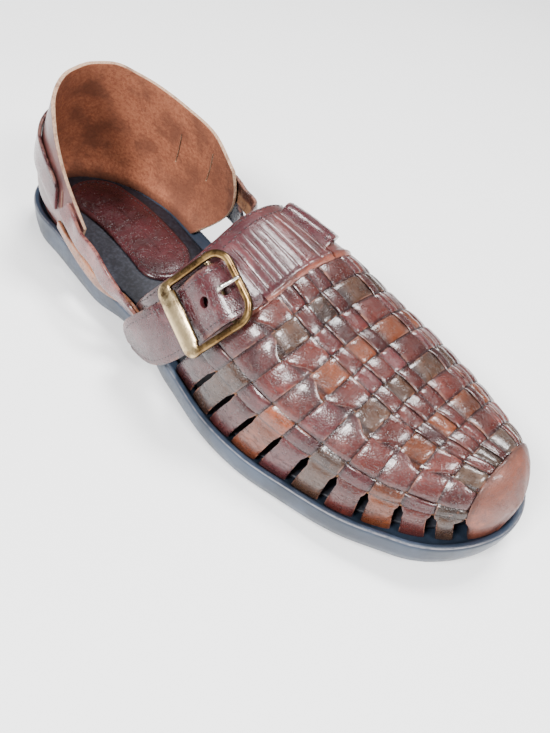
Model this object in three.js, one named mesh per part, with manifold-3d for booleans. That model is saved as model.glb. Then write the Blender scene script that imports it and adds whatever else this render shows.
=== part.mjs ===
// Huarache sandal for the right foot: woven closed toe, strap and buckle over the instep, open waist, heel counter.
// Millimetres. X runs to the toe, Y to the inner side of the foot, Z up from the floor.
// The origin is on the floor under the middle of the heel.
import * as THREE from 'three';
import { mergeVertices } from 'three/addons/utils/BufferGeometryUtils.js';
import Module from 'manifold-3d';

const wasm = await Module();
wasm.setup();

// Driving sizes
const soleLength = 289;
const soleWidth = 103;          // widest place of the forefoot
const heelCentre = 38;          // heel's back to the middle of the heel
const wallAtHeel = 16;          // side of the sole, floor to lip
const wallAtToe = 12;
const toeSpring = 8.6;
const archRise = 5;
const treadTuck = 1.2;          // floor edge of the sole inside its widest line
const lipWidth = 3;
const lipSlope = 0.4;           // slope between the lip and the footbed
const recessDepth = 2.5;        // footbed under the lip
const clearance = 0.3;
const heelRound = 37;           // how far the round of the heel reaches along the sole
const toeRound = 26;
const toeSwing = 8;             // the tip leans to the inner side

const vampHeight = 78;          // crest of the instep over the floor
const wall = 1.4;               // leather between the strips
const stripRaise = 1.1;         // a woven strip over that wall
const bridgeRaise = 0.9;
const ridgeRaise = 1.3;
const bridgeBack = 143;         // back edge of the instep bridge at its crest, from the heel's back
const bridgeFront = 175;        // worn ridge where the weave starts
const weaveFront = 272;         // last row of the weave, where the toe cap starts
const upperTip = 284;
const tabShare = 0.11;          // free part of the cross strips, share of the way round
const seamWidth = 0.9;          // sunken line between two strips

const counterHeight = 84;       // top of the counter over the floor
const counterWall = 1.8;
const counterFront = 97;        // upper front corner of its wings

const strapWidth = 23;
const strapThick = 2;
const slingWidth = 15;
const branchWidth = 10;
const branchThick = 1.6;

const frameWide = 32.3;
const frameThick = 2.6;
const frameBar = 8;             // the wide flat bar at the strap's end
const frameSide = 3;
const frameCorner = 7.2;
const hingeThick = 2.2;
const prongThick = 2;
const holeSize = 4.4;

const insoleThick = 1.6;
const padThick = 2;
const padWidth = 30;
const padBack = 16;
const padFront = 103;

// Outline of the sole without its round ends: shares of the length, half widths as shares of the widest place.
const outline = [
  { at: 0.0, outer: 0.300, inner: 0.262 },
  { at: 0.13, outer: 0.300, inner: 0.318 },
  { at: 0.2, outer: 0.322, inner: 0.335 },
  { at: 0.3, outer: 0.354, inner: 0.295 },
  { at: 0.4, outer: 0.362, inner: 0.268 },
  { at: 0.5, outer: 0.412, inner: 0.315 },
  { at: 0.6, outer: 0.470, inner: 0.442 },
  { at: 0.68, outer: 0.474, inner: 0.498 },
  { at: 0.76, outer: 0.435, inner: 0.523 },
  { at: 0.84, outer: 0.393, inner: 0.495 },
  { at: 0.91, outer: 0.330, inner: 0.412 },
  { at: 0.96, outer: 0.298, inner: 0.346 },
  { at: 1.0, outer: 0.270, inner: 0.300 },
];

// Crest of the upper over the floor as a share of its height, and how far its edge stands in from the sole's lip.
const crest = [
  { at: 0.3, high: 1.04, inset: 0 },
  { at: 0.47, high: 0.99, inset: 0 },
  { at: 0.52, high: 1.0, inset: 0 },
  { at: 0.6, high: 0.92, inset: 0 },
  { at: 0.68, high: 0.80, inset: 0 },
  { at: 0.76, high: 0.70, inset: 0 },
  { at: 0.84, high: 0.625, inset: 0.6 },
  { at: 0.91, high: 0.59, inset: 2.2 },
  { at: 0.96, high: 0.56, inset: 3.5 },
  { at: 1.0, high: 0.31, inset: 3.5 },
];

// Lines across the upper: where each stands on the crest, and how far its two ends bend back.
const weaveRows = 10;
const bendAtBack = 35;
const bends = [
  { at: 0, bend: 30 },
  { at: 1, bend: 25 },
  { at: 3, bend: 17 },
  { at: 5, bend: 7 },
  { at: 7, bend: -2 },
  { at: 8.5, bend: -6 },
  { at: 10, bend: -6 },
];

// Edges of the lengthwise lanes, as shares of the way round from the outer side to the inner side.
const lanes = [0, tabShare, 0.165, 0.28, 0.365, 0.41, 0.46, 0.495, 0.57, 0.605, 0.65, 0.72, 0.835, 1 - tabShare, 1];

// Small helpers for points, tables and closed skins.
const point = (x, y, z) => new THREE.Vector3(x, y, z);
const mix = (from, to, share) => from + (to - from) * share;
const clamp = (value) => Math.min(1, Math.max(0, value));

function smooth(table, column, at) {
  const last = table.length - 1;
  if (at <= table[0].at) return table[0][column];
  if (at >= table[last].at) return table[last][column];
  let k = 0;
  while (table[k + 1].at < at) k += 1;
  const slope = (j) => {
    const before = table[Math.max(0, j - 1)];
    const after = table[Math.min(last, j + 1)];
    return (after[column] - before[column]) / (after.at - before.at);
  };
  const span = table[k + 1].at - table[k].at;
  const t = (at - table[k].at) / span;
  const rise = table[k + 1][column] - table[k][column];
  const start = slope(k) * span;
  const end = slope(k + 1) * span;
  return table[k][column] + t * (start + t * (3 * rise - 2 * start - end + t * (start + end - 2 * rise)));
}

function solidFrom(points, triangles) {
  let volume = 0;
  for (const [a, b, c] of triangles) {
    volume += points[a].dot(point(0, 0, 0).crossVectors(points[b], points[c]));
  }
  const facing = volume < 0 ? triangles.map(([a, b, c]) => [a, c, b]) : triangles;
  return new wasm.Manifold(new wasm.Mesh({
    numProp: 3,
    vertProperties: new Float32Array(points.flatMap((p) => [p.x, p.y, p.z])),
    triVerts: new Uint32Array(facing.flat()),
  }));
}

// A stack of closed rings with the same number of points, its first and last ring filled across.
function ringSolid(rings) {
  const count = rings[0].length;
  const triangles = [];
  for (let k = 0; k + 1 < rings.length; k += 1) {
    for (let j = 0; j < count; j += 1) {
      const next = (j + 1) % count;
      const a = k * count;
      const b = a + count;
      triangles.push([a + j, a + next, b + next], [a + j, b + next, b + j]);
    }
  }
  const fill = (base, turned) => {
    for (let i = 0, k = count - 1; k - i > 1; i += 1, k -= 1) {
      const add = (a, b, c) => triangles.push(turned ? [base + a, base + c, base + b] : [base + a, base + b, base + c]);
      add(i, k, i + 1);
      if (k - i > 2) add(i + 1, k, k - 1);
    }
  };
  fill(0, false);
  fill((rings.length - 1) * count, true);
  return solidFrom(rings.flat(), triangles);
}

// A tube of rings whose last ring meets its first
function loopSolid(rings) {
  const count = rings[0].length;
  const total = rings.length;
  const triangles = [];
  for (let k = 0; k < total; k += 1) {
    for (let j = 0; j < count; j += 1) {
      const next = (j + 1) % count;
      const a = k * count;
      const b = ((k + 1) % total) * count;
      triangles.push([a + j, a + next, b + next], [a + j, b + next, b + j]);
    }
  }
  return solidFrom(rings.flat(), triangles);
}

// A sheet with a face, a back and four closed edges, from two grids of points.
function sheetSolid(face, back) {
  const rings = face.map((row, k) => [...row, ...back[k].slice().reverse()]);
  return ringSolid(rings);
}

// Outline of the sole and of what follows it
function endRound(x, start, end) {
  const heel = clamp((x - start) / heelRound);
  const toe = clamp((end - x) / toeRound);
  return Math.sqrt(heel * (2 - heel)) * Math.sqrt(toe * (2 - toe));
}
const swing = (x) => toeSwing * clamp((x / soleLength - 0.75) / 0.25) ** 2;
const springAt = (x) => toeSpring * clamp((x / soleLength - 0.68) / 0.32) ** 2;
const outerHalf = (x) => soleWidth * smooth(outline, 'outer', x / soleLength);
const innerHalf = (x) => soleWidth * smooth(outline, 'inner', x / soleLength);

function lipHeight(x) {
  const share = clamp((x / soleLength - 0.25) / 0.35);
  return springAt(x) + mix(wallAtHeel, wallAtToe, share * share * (3 - 2 * share));
}
const footbed = (x) => lipHeight(x) - recessDepth;

function treadHeight(x) {
  const arch = clamp((x / soleLength - 0.27) / 0.1) * clamp((0.5 - x / soleLength) / 0.08);
  return springAt(x) + archRise * Math.sin(arch * Math.PI / 2) ** 2;
}

// Closed outline, from the heel along the outer side to the toe and back along the inner side.
const stations = 34;
function outlineRing(insetAt, height) {
  const shares = Array.from({ length: stations + 1 }, (_, k) => (1 - Math.cos(Math.PI * k / stations)) / 2);
  const side = (half, sign) => shares.map((share) => {
    const x = soleLength * share;
    return point(x, sign * half(x) * endRound(x, 0, soleLength) + swing(x), 0);
  });
  const outer = side(outerHalf, -1);
  const inner = side(innerHalf, 1).slice(1, -1).reverse();
  const ring = [...outer, ...inner];
  const count = ring.length;
  return ring.map((p, k) => {
    const along = ring[(k + 1) % count].clone().sub(ring[(k + count - 1) % count]).normalize();
    const inset = insetAt(p.x);
    const x = p.x - along.y * inset;
    return point(x, p.y + along.x * inset, height(x));
  });
}

function outsole() {
  const profile = [
    { inset: treadTuck + 4, height: (x) => treadHeight(x) },
    { inset: treadTuck, height: (x) => treadHeight(x) + 0.8 },
    { inset: 0.2, height: (x) => mix(treadHeight(x), lipHeight(x), 0.35) },
    { inset: 0, height: (x) => lipHeight(x) - 1 },
    { inset: 0.6, height: lipHeight },
    { inset: lipWidth, height: lipHeight },
    { inset: lipWidth + lipSlope, height: footbed },
  ];
  let body = ringSolid(profile.map(({ inset, height }) => outlineRing(() => inset, height)));
  for (const x of treadGrooves) {
    const half = treadGroove / 2;
    const corners = [-1, 1].map((side) => {
      const reach = side < 0 ? -outerHalf(x) + treadMargin : innerHalf(x) - treadMargin;
      return [[x - half, reach], [x + half, reach]];
    });
    const loop = [corners[0][0], corners[0][1], corners[1][1], corners[1][0]];
    body = body.subtract(ringSolid([-1, treadDepth].map((z) => loop.map(([px, py]) => point(px, py, z)))));
  }
  return body;
}
const treadDepth = 1.6;
const treadGroove = 2.4;
const treadMargin = 8;
const treadGrooves = [
  ...[0.06, 0.1, 0.165, 0.205].map((share) => share * soleLength),
  ...[0.52, 0.56, 0.6, 0.64, 0.68].map((share) => share * soleLength),
];

// Skin of the upper: x from the heel's back, turn from 0 at the outer edge over the crest to 1 at the inner edge.
function skin(x, turn) {
  const share = x / soleLength;
  const edge = upperInset(x);
  const tip = clamp((upperTip - x) / toeRound);
  const narrow = Math.max(0.2, (tip * (2 - tip)) ** 0.4);
  const inset = (half) => edge * Math.hypot(1, (half(x + 1) - half(x - 1)) / 2);
  const outerEdge = swing(x) - (outerHalf(x) - inset(outerHalf)) * narrow;
  const innerEdge = swing(x) + (innerHalf(x) - inset(innerHalf)) * narrow;
  const base = footbed(x) + 2.7 * clearance;
  const high = vampHeight * smooth(crest, 'high', share) - base;
  const c = Math.cos(turn * Math.PI);
  const s = Math.sin(turn * Math.PI);
  const y = (outerEdge + innerEdge) / 2 - (innerEdge - outerEdge) / 2 * Math.sign(c) * Math.abs(c) ** 0.8;
  const waist = Math.exp(-(((x - waistAt) / waistReach) ** 2));
  const low = (share) => Math.max(0, share / bulgeTurn * Math.exp(1 - share / bulgeTurn)) ** 1.6;
  const bulge = waist * (waistBulgeInner * low(1 - turn) - waistBulgeOuter * low(turn));
  return point(x, y + crestLean * narrow * s * s + bulge, base + high * Math.sign(s) * Math.abs(s) ** 0.85);
}
const crestLean = 4;            // the crest leans to the inner side
const waistAt = 118;
const waistReach = 36;
const waistBulgeOuter = 8.5;    // how far the sides of the bridge stand out over the narrow waist
const waistBulgeInner = 6.5;
const bulgeTurn = 0.13;

function skinNormal(x, turn) {
  const t = Math.min(0.985, Math.max(0.015, turn));
  const along = skin(x + 1, t).sub(skin(x - 1, t));
  const round = skin(x, t + 0.008).sub(skin(x, t - 0.008));
  return along.cross(round).normalize();
}
const onSkin = (x, turn, lift) => skin(x, turn).addScaledVector(skinNormal(x, turn), lift);

// Line across the upper, by row: 0 the bridge's back, 1 its front, then the weave, 11 the toe cap's edge, 12 the tip.
const capRow = weaveRows + 1;
function lineX(row, turn) {
  const side = clamp(Math.max(0.4 - turn, turn - 0.6) / 0.4);
  const bent = (x, bend) => x - bend * side * side;
  const back = bent(bridgeBack, bendAtBack);
  if (row <= 1) return mix(back, bent(bridgeFront, bends[0].bend), row);
  const share = (Math.min(row, capRow) - 1) / weaveRows;
  const x = mix(bridgeFront, weaveFront, share);
  const line = bent(x, smooth(bends, 'bend', share * weaveRows));
  return row <= capRow ? line : mix(line, upperTip, row - capRow);
}

// Height of the leather over the wall: every strip is high where it passes over and low at its ends, where it dips.
function relief(row, u, lane) {
  if (row < 1) return row > 0.9 ? ridgeRaise : bridgeRaise;
  if (row >= capRow) return stripRaise;
  const band = Math.floor(row);
  const v = row - band;
  if (lane === 0 || lane === lanes.length - 2) return stripRaise;
  const crossOver = (band + lane) % 2 === 1;
  const way = crossOver ? u : v;
  return way === 0.5 ? stripRaise : stripRaise * dip;
}
const dip = 0.45;

const seamTurn = seamWidth / 2 / (2 * vampHeight);
const seamShare = seamWidth / 2 / ((weaveFront - bridgeFront) / weaveRows);
const outerRows = [
  0, 0.45, 0.88, 1 - seamShare / 3,
  ...Array.from({ length: weaveRows }, (_, k) => [seamShare, 0.5, 1 - seamShare].map((v) => k + 1 + v)).flat(),
  ...[0.06, 0.3, 0.5, 0.68, 0.82, 0.93, 1].map((v) => capRow + v),
];

function upperVamp() {
  const columns = [];
  for (let lane = 0; lane + 1 < lanes.length; lane += 1) {
    const width = lanes[lane + 1] - lanes[lane];
    const first = lane === 0 ? 0 : seamTurn;
    const last = lane === lanes.length - 2 ? 0 : seamTurn;
    columns.push({ lane, u: 0, turn: lanes[lane] + first });
    if (lane === 0) columns.push({ lane, u: 0.5, turn: width * 0.2 });
    columns.push({ lane, u: 0.5, turn: lanes[lane] + width / 2 });
    if (lane === lanes.length - 2) columns.push({ lane, u: 0.5, turn: 1 - width * 0.2 });
    columns.push({ lane, u: 1, turn: lanes[lane + 1] - last });
  }
  const outer = ringSolid(outerRows.map((row) => columns.map(({ lane, u, turn }) => (
    onSkin(lineX(row, turn), turn, relief(row, u, lane))
  ))));

  const inside = 26;
  const turns = Array.from({ length: inside + 1 }, (_, k) => k / inside);
  const innerRows = [0, 0.5, 1, 2.2, 3.4, 4.6, 5.8, 7, 8.2, 9.4, 10.4, ...[0, 0.2, 0.4, 0.6, 0.75, 0.87].map((v) => capRow + v)];
  const inner = innerRows.map((row) => {
    const ring = turns.map((turn) => onSkin(lineX(row, turn), turn, -wall));
    const low = (p) => point(p.x, p.y, p.z - openBelow);
    return [low(ring[0]), ...ring, low(ring[inside])];
  });
  const behind = inner[0].map((p) => point(p.x - bendAtBack, p.y, p.z));
  let body = outer.subtract(ringSolid([behind, ...inner]));

  for (const gap of tabGaps) {
    for (const side of [0, 1]) {
      const turnOf = (turn) => (side === 0 ? turn : 1 - turn);
      const steps = [-0.02, gap.to * 0.5, gap.to];
      const grid = (lift) => steps.map((turn) => [-1, 1].map((end) => {
        const t = clamp(turnOf(turn));
        const width = gap.wide * (turn <= 0 ? gap.flare : 1);
        const p = onSkin(lineX(gap.row, t) + end * width / 2, t, lift);
        return turn < 0 ? p.setZ(p.z - openBelow) : p;
      }));
      body = body.subtract(sheetSolid(grid(stripRaise + 2), grid(-wall - 2)));
    }
  }
  for (const slot of strapSlots()) body = body.subtract(slot);
  return body;
}

const openBelow = 6;            // the hollow and the gaps between the tabs are open downwards

// Gaps between the ends of the cross strips, by row line: width at the runner, how far it widens, and its height.
const tabGaps = [
  { row: 0.86, wide: 13, flare: 0.7, to: 0.095 },
  ...[2, 3, 4, 5].map((row) => ({ row, wide: 1.6, flare: 1.2, to: 0.1 })),
  ...[6, 7, 8, 9].map((row) => ({ row, wide: 2.4, flare: 1.3, to: 0.1 })),
  { row: 10, wide: 2.6, flare: 1.6, to: 0.12 },
  { row: 11, wide: 5.5, flare: 0.9, to: 0.09 },
];

// Insole inside the walls, and the stitched pad that lies on it at the heel
const besideLip = lipWidth + lipSlope + 2.6 * clearance;
const upperInset = (x) => besideLip + stripRaise + smooth(crest, 'inset', x / soleLength);
function insole() {
  const inset = (x) => upperInset(x) + wall + 3 * clearance;
  const layers = [clearance, clearance + insoleThick];
  return ringSolid(layers.map((rise) => outlineRing(inset, (x) => footbed(x) + rise)));
}

function heelPad() {
  const half = padWidth / 2;
  const centre = (x) => padWidth * smooth(padLine, 'aside', (x - padBack) / (padFront - padBack));
  const under = clearance * 2 + insoleThick;
  const layer = (inset, rise) => {
    const side = (sign) => spread(20, 0, 1).map((k) => {
      const x = mix(padBack + inset, padFront - inset, (1 - Math.cos(Math.PI * k)) / 2);
      const end = clamp(Math.min(x - padBack - inset, padFront - inset - x) / half);
      return point(x, centre(x) + sign * (half - inset) * Math.sqrt(end * (2 - end)), footbed(x) + under + rise);
    });
    return [...side(-1), ...side(1).slice(1, -1).reverse()];
  };
  return ringSolid([layer(0, 0), layer(0, padThick - 0.6), layer(0.8, padThick)]);
}

// The pad's middle line stands to the inner side at the heel and to the outer side at its front.
const padLine = [
  { at: 0, aside: 0.07 },
  { at: 0.4, aside: 0.153 },
  { at: 0.7, aside: 0.073 },
  { at: 1, aside: -0.08 },
];

// Counter: around the heel from t = -1 at the outer wing over 0 at the back to 1 at the inner wing, height share v.
// Its rim has a place, a half width and a height for each share of the way from the back to a wing's front.
const rimOuter = [
  { at: 0, x: 0.235, half: 0, high: 1.0 },
  { at: 0.15, x: 0.255, half: 0.26, high: 0.99 },
  { at: 0.3, x: 0.29, half: 0.46, high: 0.965 },
  { at: 0.45, x: 0.345, half: 0.64, high: 0.93 },
  { at: 0.6, x: 0.41, half: 0.77, high: 0.87 },
  { at: 0.75, x: 0.48, half: 0.86, high: 0.75 },
  { at: 0.88, x: 0.58, half: 0.92, high: 0.6 },
  { at: 1, x: 0.74, half: 0.97, high: 0.42 },
];
const rimInner = [
  { at: 0, x: 0.235, half: 0, high: 1.0 },
  { at: 0.12, x: 0.25, half: 0.17, high: 1.01 },
  { at: 0.25, x: 0.305, half: 0.46, high: 1.01 },
  { at: 0.4, x: 0.37, half: 0.7, high: 0.965 },
  { at: 0.55, x: 0.47, half: 0.87, high: 0.925 },
  { at: 0.7, x: 0.62, half: 1.0, high: 0.875 },
  { at: 0.85, x: 0.82, half: 1.05, high: 0.82 },
  { at: 1, x: 1.0, half: 0.99, high: 0.7 },
];
const rimHalf = 34;
const footFrontOuter = 70;
const footFrontInner = 80;
const heelBulge = 4.5;
const innerSweep = 9;           // the inner wing's front edge swells forwards
const overLip = 0.085;        // the leather stands straight inside the lip before it swells over it

function counterPoint(t, v) {
  const q = Math.abs(t);
  const rim = t < 0 ? rimOuter : rimInner;
  const sign = t < 0 ? -1 : 1;
  const half = t < 0 ? outerHalf : innerHalf;
  const front = t < 0 ? footFrontOuter : footFrontInner;
  const footX = mix(besideLip, front, q ** 1.7);
  const footY = sign * (half(footX) - besideLip) * endRound(footX, besideLip, soleLength);
  const foot = point(footX, footY, footbed(footX) + 2.8 * clearance);
  const sweep = t < 0 ? 0 : innerSweep * q ** 4 * Math.sin(Math.PI * v);
  const top = point(
    counterFront * smooth(rim, 'x', q),
    sign * rimHalf * smooth(rim, 'half', q),
    counterHeight * smooth(rim, 'high', q),
  );
  const p = foot.lerp(top, v);
  const away = point(p.x - heelRound, p.y * 1.2, 0).normalize();
  if (p.x > heelRound) away.set(0, sign, 0);
  const belly = heelBulge * Math.sin(Math.PI * clamp((v - overLip) / (1 - overLip)) ** 0.6);
  return p.addScaledVector(away, belly).add(point(sweep, 0, 0));
}

function onCounter(t, v, lift) {
  const step = 0.01;
  const along = counterPoint(Math.min(1, t + step), v).sub(counterPoint(Math.max(-1, t - step), v));
  const up = counterPoint(t, Math.min(1, v + step)).sub(counterPoint(t, Math.max(0, v - step)));
  return counterPoint(t, v).addScaledVector(up.cross(along).normalize(), lift);
}

const spread = (count, from, to) => Array.from({ length: count + 1 }, (_, k) => mix(from, to, k / count));

const counterRows = [0, overLip, 0.16, 0.3, 0.45, 0.6, 0.8, 1];
function heelCounter() {
  const grid = (lift) => spread(28, -1, 1).map((t) => counterRows.map((v) => onCounter(t, v, lift)));
  let body = sheetSolid(grid(0), grid(-counterWall));
  for (const side of [-1, 1]) {
    for (const [t, low, high] of slits) {
      const grown = (lift) => [t - 0.008, t + 0.008].map((at) => [low, high].map((v) => onCounter(side * at, v, lift)));
      body = body.subtract(sheetSolid(grown(3), grown(-counterWall - 2)));
    }
  }
  return body;
}
const slits = [[0.86, 0.5, 0.82], [0.7, 0.44, 0.74]];

// Sling strap round the outside of the counter: its path over the heel, by side, ends at the slits.
const slingPath = [
  { at: 0, v: 0.56 },
  { at: 0.5, v: 0.58 },
  { at: 0.9, v: 0.66 },
];
const slingEnd = 0.84;
function heelStrap() {
  const grid = (lift) => spread(22, -slingEnd, slingEnd).map((t) => {
    const v = smooth(slingPath, 'v', Math.abs(t));
    const tall = counterPoint(t, 1).z - counterPoint(t, 0).z;
    return spread(2, v - slingWidth / 2 / tall, v + slingWidth / 2 / tall).map((at) => onCounter(t, at, lift));
  });
  return sheetSolid(grid(2 * clearance + branchThick), grid(2 * clearance));
}

// A flat strap along a curve, facing a given way at each of its points
function ribbon(path, width, thick) {
  const curve = new THREE.CatmullRomCurve3(path.map(({ at }) => at));
  const faces = new THREE.CatmullRomCurve3(path.map(({ face }) => face.clone().normalize()));
  const grid = (lift) => spread((path.length - 1) * 3, 0, 1).map((t) => {
    const at = curve.getPoint(t);
    const along = curve.getTangent(t);
    const face = faces.getPoint(t);
    face.addScaledVector(along, -face.dot(along)).normalize();
    const across = along.clone().cross(face);
    return [-0.5, 0.5].map((s) => at.clone().addScaledVector(across, s * width).addScaledVector(face, lift));
  });
  return sheetSolid(grid(thick / 2), grid(-thick / 2));
}

// Side straps: each lies on the outside of the counter and runs free over the waist. The outer ones end on the bridge
// under the buckle strap's tip, the inner ones inside the bridge. Wide is a share of the named width. The free points
// are shares: along the sole's length, out of the sole's half width there, high of the mean height of the uppers.
const sideStraps = [
  {
    name: 'side_strap_outer_upper', wide: 0.95, from: [-0.9, 0.76], into: { at: 0.4291, turn: 0.036, layer: 2 },
    free: [{ at: 0.2602, out: 1.09, high: 0.23 }, { at: 0.3065, out: 1.094, high: 0.221 }, { at: 0.3505, out: 1.15, high: 0.19 }],
  },
  {
    name: 'side_strap_outer_lower', wide: 0.6, from: [-0.86, 0.38], into: { at: 0.4187, turn: 0.034, layer: 1 },
    free: [{ at: 0.2734, out: 1.074, high: 0.083 }, { at: 0.3189, out: 1.06, high: 0.06 }, { at: 0.36, out: 0.998, high: 0.067 }],
  },
  {
    name: 'side_strap_inner_upper', wide: 1.3, from: [0.88, 0.69], into: { at: 0.4602, turn: 0.837, layer: -1 },
    free: [{ at: 0.33, out: 1.27, high: 0.405 }, { at: 0.36, out: 1.25, high: 0.395 }, { at: 0.3945, out: 1.21, high: 0.389 }],
  },
  {
    name: 'side_strap_inner_lower', wide: 1.2, from: [0.84, 0.35], into: { at: 0.4325, turn: 0.914, layer: -1 },
    free: [{ at: 0.31, out: 1.26, high: 0.235 }, { at: 0.3425, out: 1.27, high: 0.24 }, { at: 0.375, out: 1.165, high: 0.232 }],
  },
];

function sideStrap({ wide, from: [t, v], free, into: { at: share, turn, layer } }) {
  const lying = 1.7 * clearance + branchThick / 2;
  const ahead = t + Math.sign(t) * 0.045;
  const inside = -wall - 4 * clearance - branchThick / 2;
  const outside = bridgeRaise + 2 * clearance + branchThick / 2 + (layer - 1) * (branchThick + clearance);
  const lift = layer < 0 ? inside : outside;
  const outward = point(0, Math.sign(t), 0.12);
  const away = (at, low) => onCounter(at, low, 1).sub(onCounter(at, low, 0));
  const half = t < 0 ? outerHalf : innerHalf;
  const freePoint = ({ at, out, high }) => {
    const place = at * soleLength;
    return point(place, Math.sign(t) * half(place) * out, lipHeight(place) + high * (counterHeight + vampHeight) / 2);
  };
  const end = share * soleLength;
  const start = end - branchWidth * 0.9;
  return ribbon([
    { at: onCounter(t, v, lying), face: away(t, v) },
    { at: onCounter(ahead, v, lying), face: away(ahead, v) },
    ...free.map((spot) => ({ at: freePoint(spot), face: outward })),
    { at: onSkin(start, turn, lift), face: skinNormal(start, turn) },
    { at: onSkin(end, turn, lift), face: skinNormal(end, turn) },
  ], wide * branchWidth, branchThick);
}

// Buckle strap: its middle line on the skin from the rounded tip over the hinge, through a slot under the bridge,
// out by a second slot and down the inner side. Over is the share of the way from the bridge's back to its front at
// the crest, lift is the strap's underside over the skin.
const overBridge = ridgeRaise + clearance;
const underBridge = -wall - 3 * clearance - strapThick;
const strapPath = [
  { at: 0, over: -0.515, turn: 0.018, lift: overBridge + 4.7 * strapThick },
  { at: 0.1, over: -0.094, turn: 0.075, lift: overBridge + 1.9 * strapThick },
  { at: 0.2, over: 0.2188, turn: 0.145, lift: overBridge },
  { at: 0.315, over: 0.503, turn: 0.25, lift: 2.2 * strapThick },
  { at: 0.37, over: 0.61, turn: 0.305, lift: overBridge },
  { at: 0.44, over: 0.66, turn: 0.37, lift: underBridge },
  { at: 0.6, over: 0.5625, turn: 0.52, lift: underBridge },
  { at: 0.66, over: 0.5, turn: 0.575, lift: overBridge },
  { at: 0.76, over: 0.375, turn: 0.68, lift: overBridge },
  { at: 0.88, over: 0.03125, turn: 0.82, lift: overBridge },
  { at: 1, over: -0.4062, turn: 0.93, lift: overBridge },
];
const strapSpots = spread(42, 0, 1);

function strapLine(share) {
  const [over, turn, lift] = ['over', 'turn', 'lift'].map((column) => smooth(strapPath, column, share));
  return [mix(bridgeBack, bridgeFront, over), turn, lift];
}

function onStrap(share, across, lift) {
  const [x, turn, under] = strapLine(share);
  const [nextX, nextTurn] = strapLine(Math.min(1, share + 0.01));
  const [lastX, lastTurn] = strapLine(Math.max(0, share - 0.01));
  const along = skin(nextX, nextTurn).sub(skin(lastX, lastTurn)).normalize();
  const side = along.cross(skinNormal(x, turn)).normalize().multiplyScalar(across);
  const perX = skin(x + 0.5, turn).sub(skin(x - 0.5, turn));
  const step = 0.005;
  const perTurn = skin(x, turn + step).sub(skin(x, turn - step)).divideScalar(2 * step);
  const [xx, xt, tt] = [perX.dot(perX), perX.dot(perTurn), perTurn.dot(perTurn)];
  const [sx, st] = [side.dot(perX), side.dot(perTurn)];
  const det = xx * tt - xt * xt;
  return onSkin(x + (sx * tt - st * xt) / det, turn + (st * xx - sx * xt) / det, under + lift);
}

function strapSheet(shares, low, high, grow) {
  const grid = (lift) => shares.map((share) => {
    const fromTip = share * strapReach;
    const round = clamp((fromTip + 0.4) / (strapWidth / 2));
    const half = strapWidth / 2 * Math.sqrt(round * (2 - round)) + grow;
    return [-half, 0, half].map((across) => onStrap(share, across, lift));
  });
  return sheetSolid(grid(high), grid(low));
}
const strapReach = 185;

// A round bar along a line of points, its rings turned by a direction that the line never runs along
function rod(points, radius, sides, beside = point(0.3, 0.2, 0.93)) {
  const rings = points.map((p, k) => {
    const along = points[Math.min(points.length - 1, k + 1)].clone().sub(points[Math.max(0, k - 1)]).normalize();
    const across = along.clone().cross(beside).normalize();
    const up = along.clone().cross(across);
    const size = Array.isArray(radius) ? radius[k] : radius;
    return Array.from({ length: sides }, (_, j) => {
      const angle = 2 * Math.PI * j / sides;
      return p.clone().addScaledVector(across, size * Math.cos(angle)).addScaledVector(up, size * Math.sin(angle));
    });
  });
  return ringSolid(rings);
}

// Buckle frame: a flat plane that clears the strap under its end bar and under its far side.
const barAt = 0.212;
const farAt = 0.378;
const hingeAt = 0.32;
const hingeDrop = 2.4;          // the hinge bar runs under the plane of the frame
const hingeShare = 0.68;
function framePlane() {
  const lift = strapThick + frameThick / 2 + 7 * clearance;
  const bar = onStrap(barAt, 0, lift);
  const far = onStrap(farAt, 0, lift);
  const along = far.clone().sub(bar).normalize();
  const across = onStrap(hingeAt, 1, 0).sub(onStrap(hingeAt, -1, 0));
  across.addScaledVector(along, -across.dot(along)).normalize();
  const up = across.clone().cross(along).normalize();
  const [x, turn] = strapLine(hingeAt);
  if (up.dot(skinNormal(x, turn)) < 0) up.negate();
  const middle = bar.clone().lerp(far, 0.5);
  const span = bar.distanceTo(far);
  return { middle, along, across, up, span };
}

function inFrame(plane, along, across, up) {
  return plane.middle.clone().addScaledVector(plane.along, along).addScaledVector(plane.across, across)
    .addScaledVector(plane.up, up);
}

function buckleFrame() {
  const plane = framePlane();
  const halfAlong = plane.span / 2;
  const halfAcross = frameWide / 2 - frameSide / 2;
  const line = [];
  const corner = (signAlong, signAcross, radius, start) => {
    for (let k = 0; k <= 4; k += 1) {
      const angle = start + k / 4 * Math.PI / 2;
      line.push([
        signAlong * (halfAlong - radius) + radius * Math.cos(angle),
        signAcross * (halfAcross - radius) + radius * Math.sin(angle),
      ]);
    }
  };
  corner(1, 1, frameCorner, 0);
  corner(-1, 1, frameCorner / 2, Math.PI / 2);
  corner(-1, -1, frameCorner / 2, Math.PI);
  corner(1, -1, frameCorner, 1.5 * Math.PI);
  const count = line.length;
  const rings = line.map(([u, w], k) => {
    const next = line[(k + 1) % count];
    const last = line[(k + count - 1) % count];
    const length = Math.hypot(next[0] - last[0], next[1] - last[1]);
    const out = [(next[1] - last[1]) / length, -(next[0] - last[0]) / length];
    const wide = mix(frameSide, frameBar, clamp((-u - halfAlong + 2.5) / 2.5)) / 2;
    const thick = frameThick / 2;
    return [[-1, 0], [-0.6, 1], [0.6, 1], [1, 0], [0.6, -1], [-0.6, -1]].map(([side, up]) => (
      inFrame(plane, u + out[0] * side * wide, w + out[1] * side * wide, up * thick)
    ));
  });
  const hingeU = mix(-halfAlong, halfAlong, hingeShare);
  const bend = halfAcross - frameSide / 2;
  const hingeSpots = [[-halfAcross, 0], [-bend, -hingeDrop], [bend, -hingeDrop], [halfAcross, 0]];
  const hinge = rod(hingeSpots.map(([across, up]) => inFrame(plane, hingeU, across, up)), hingeThick / 2, 8);
  return loopSolid(rings).add(hinge);
}

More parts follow.
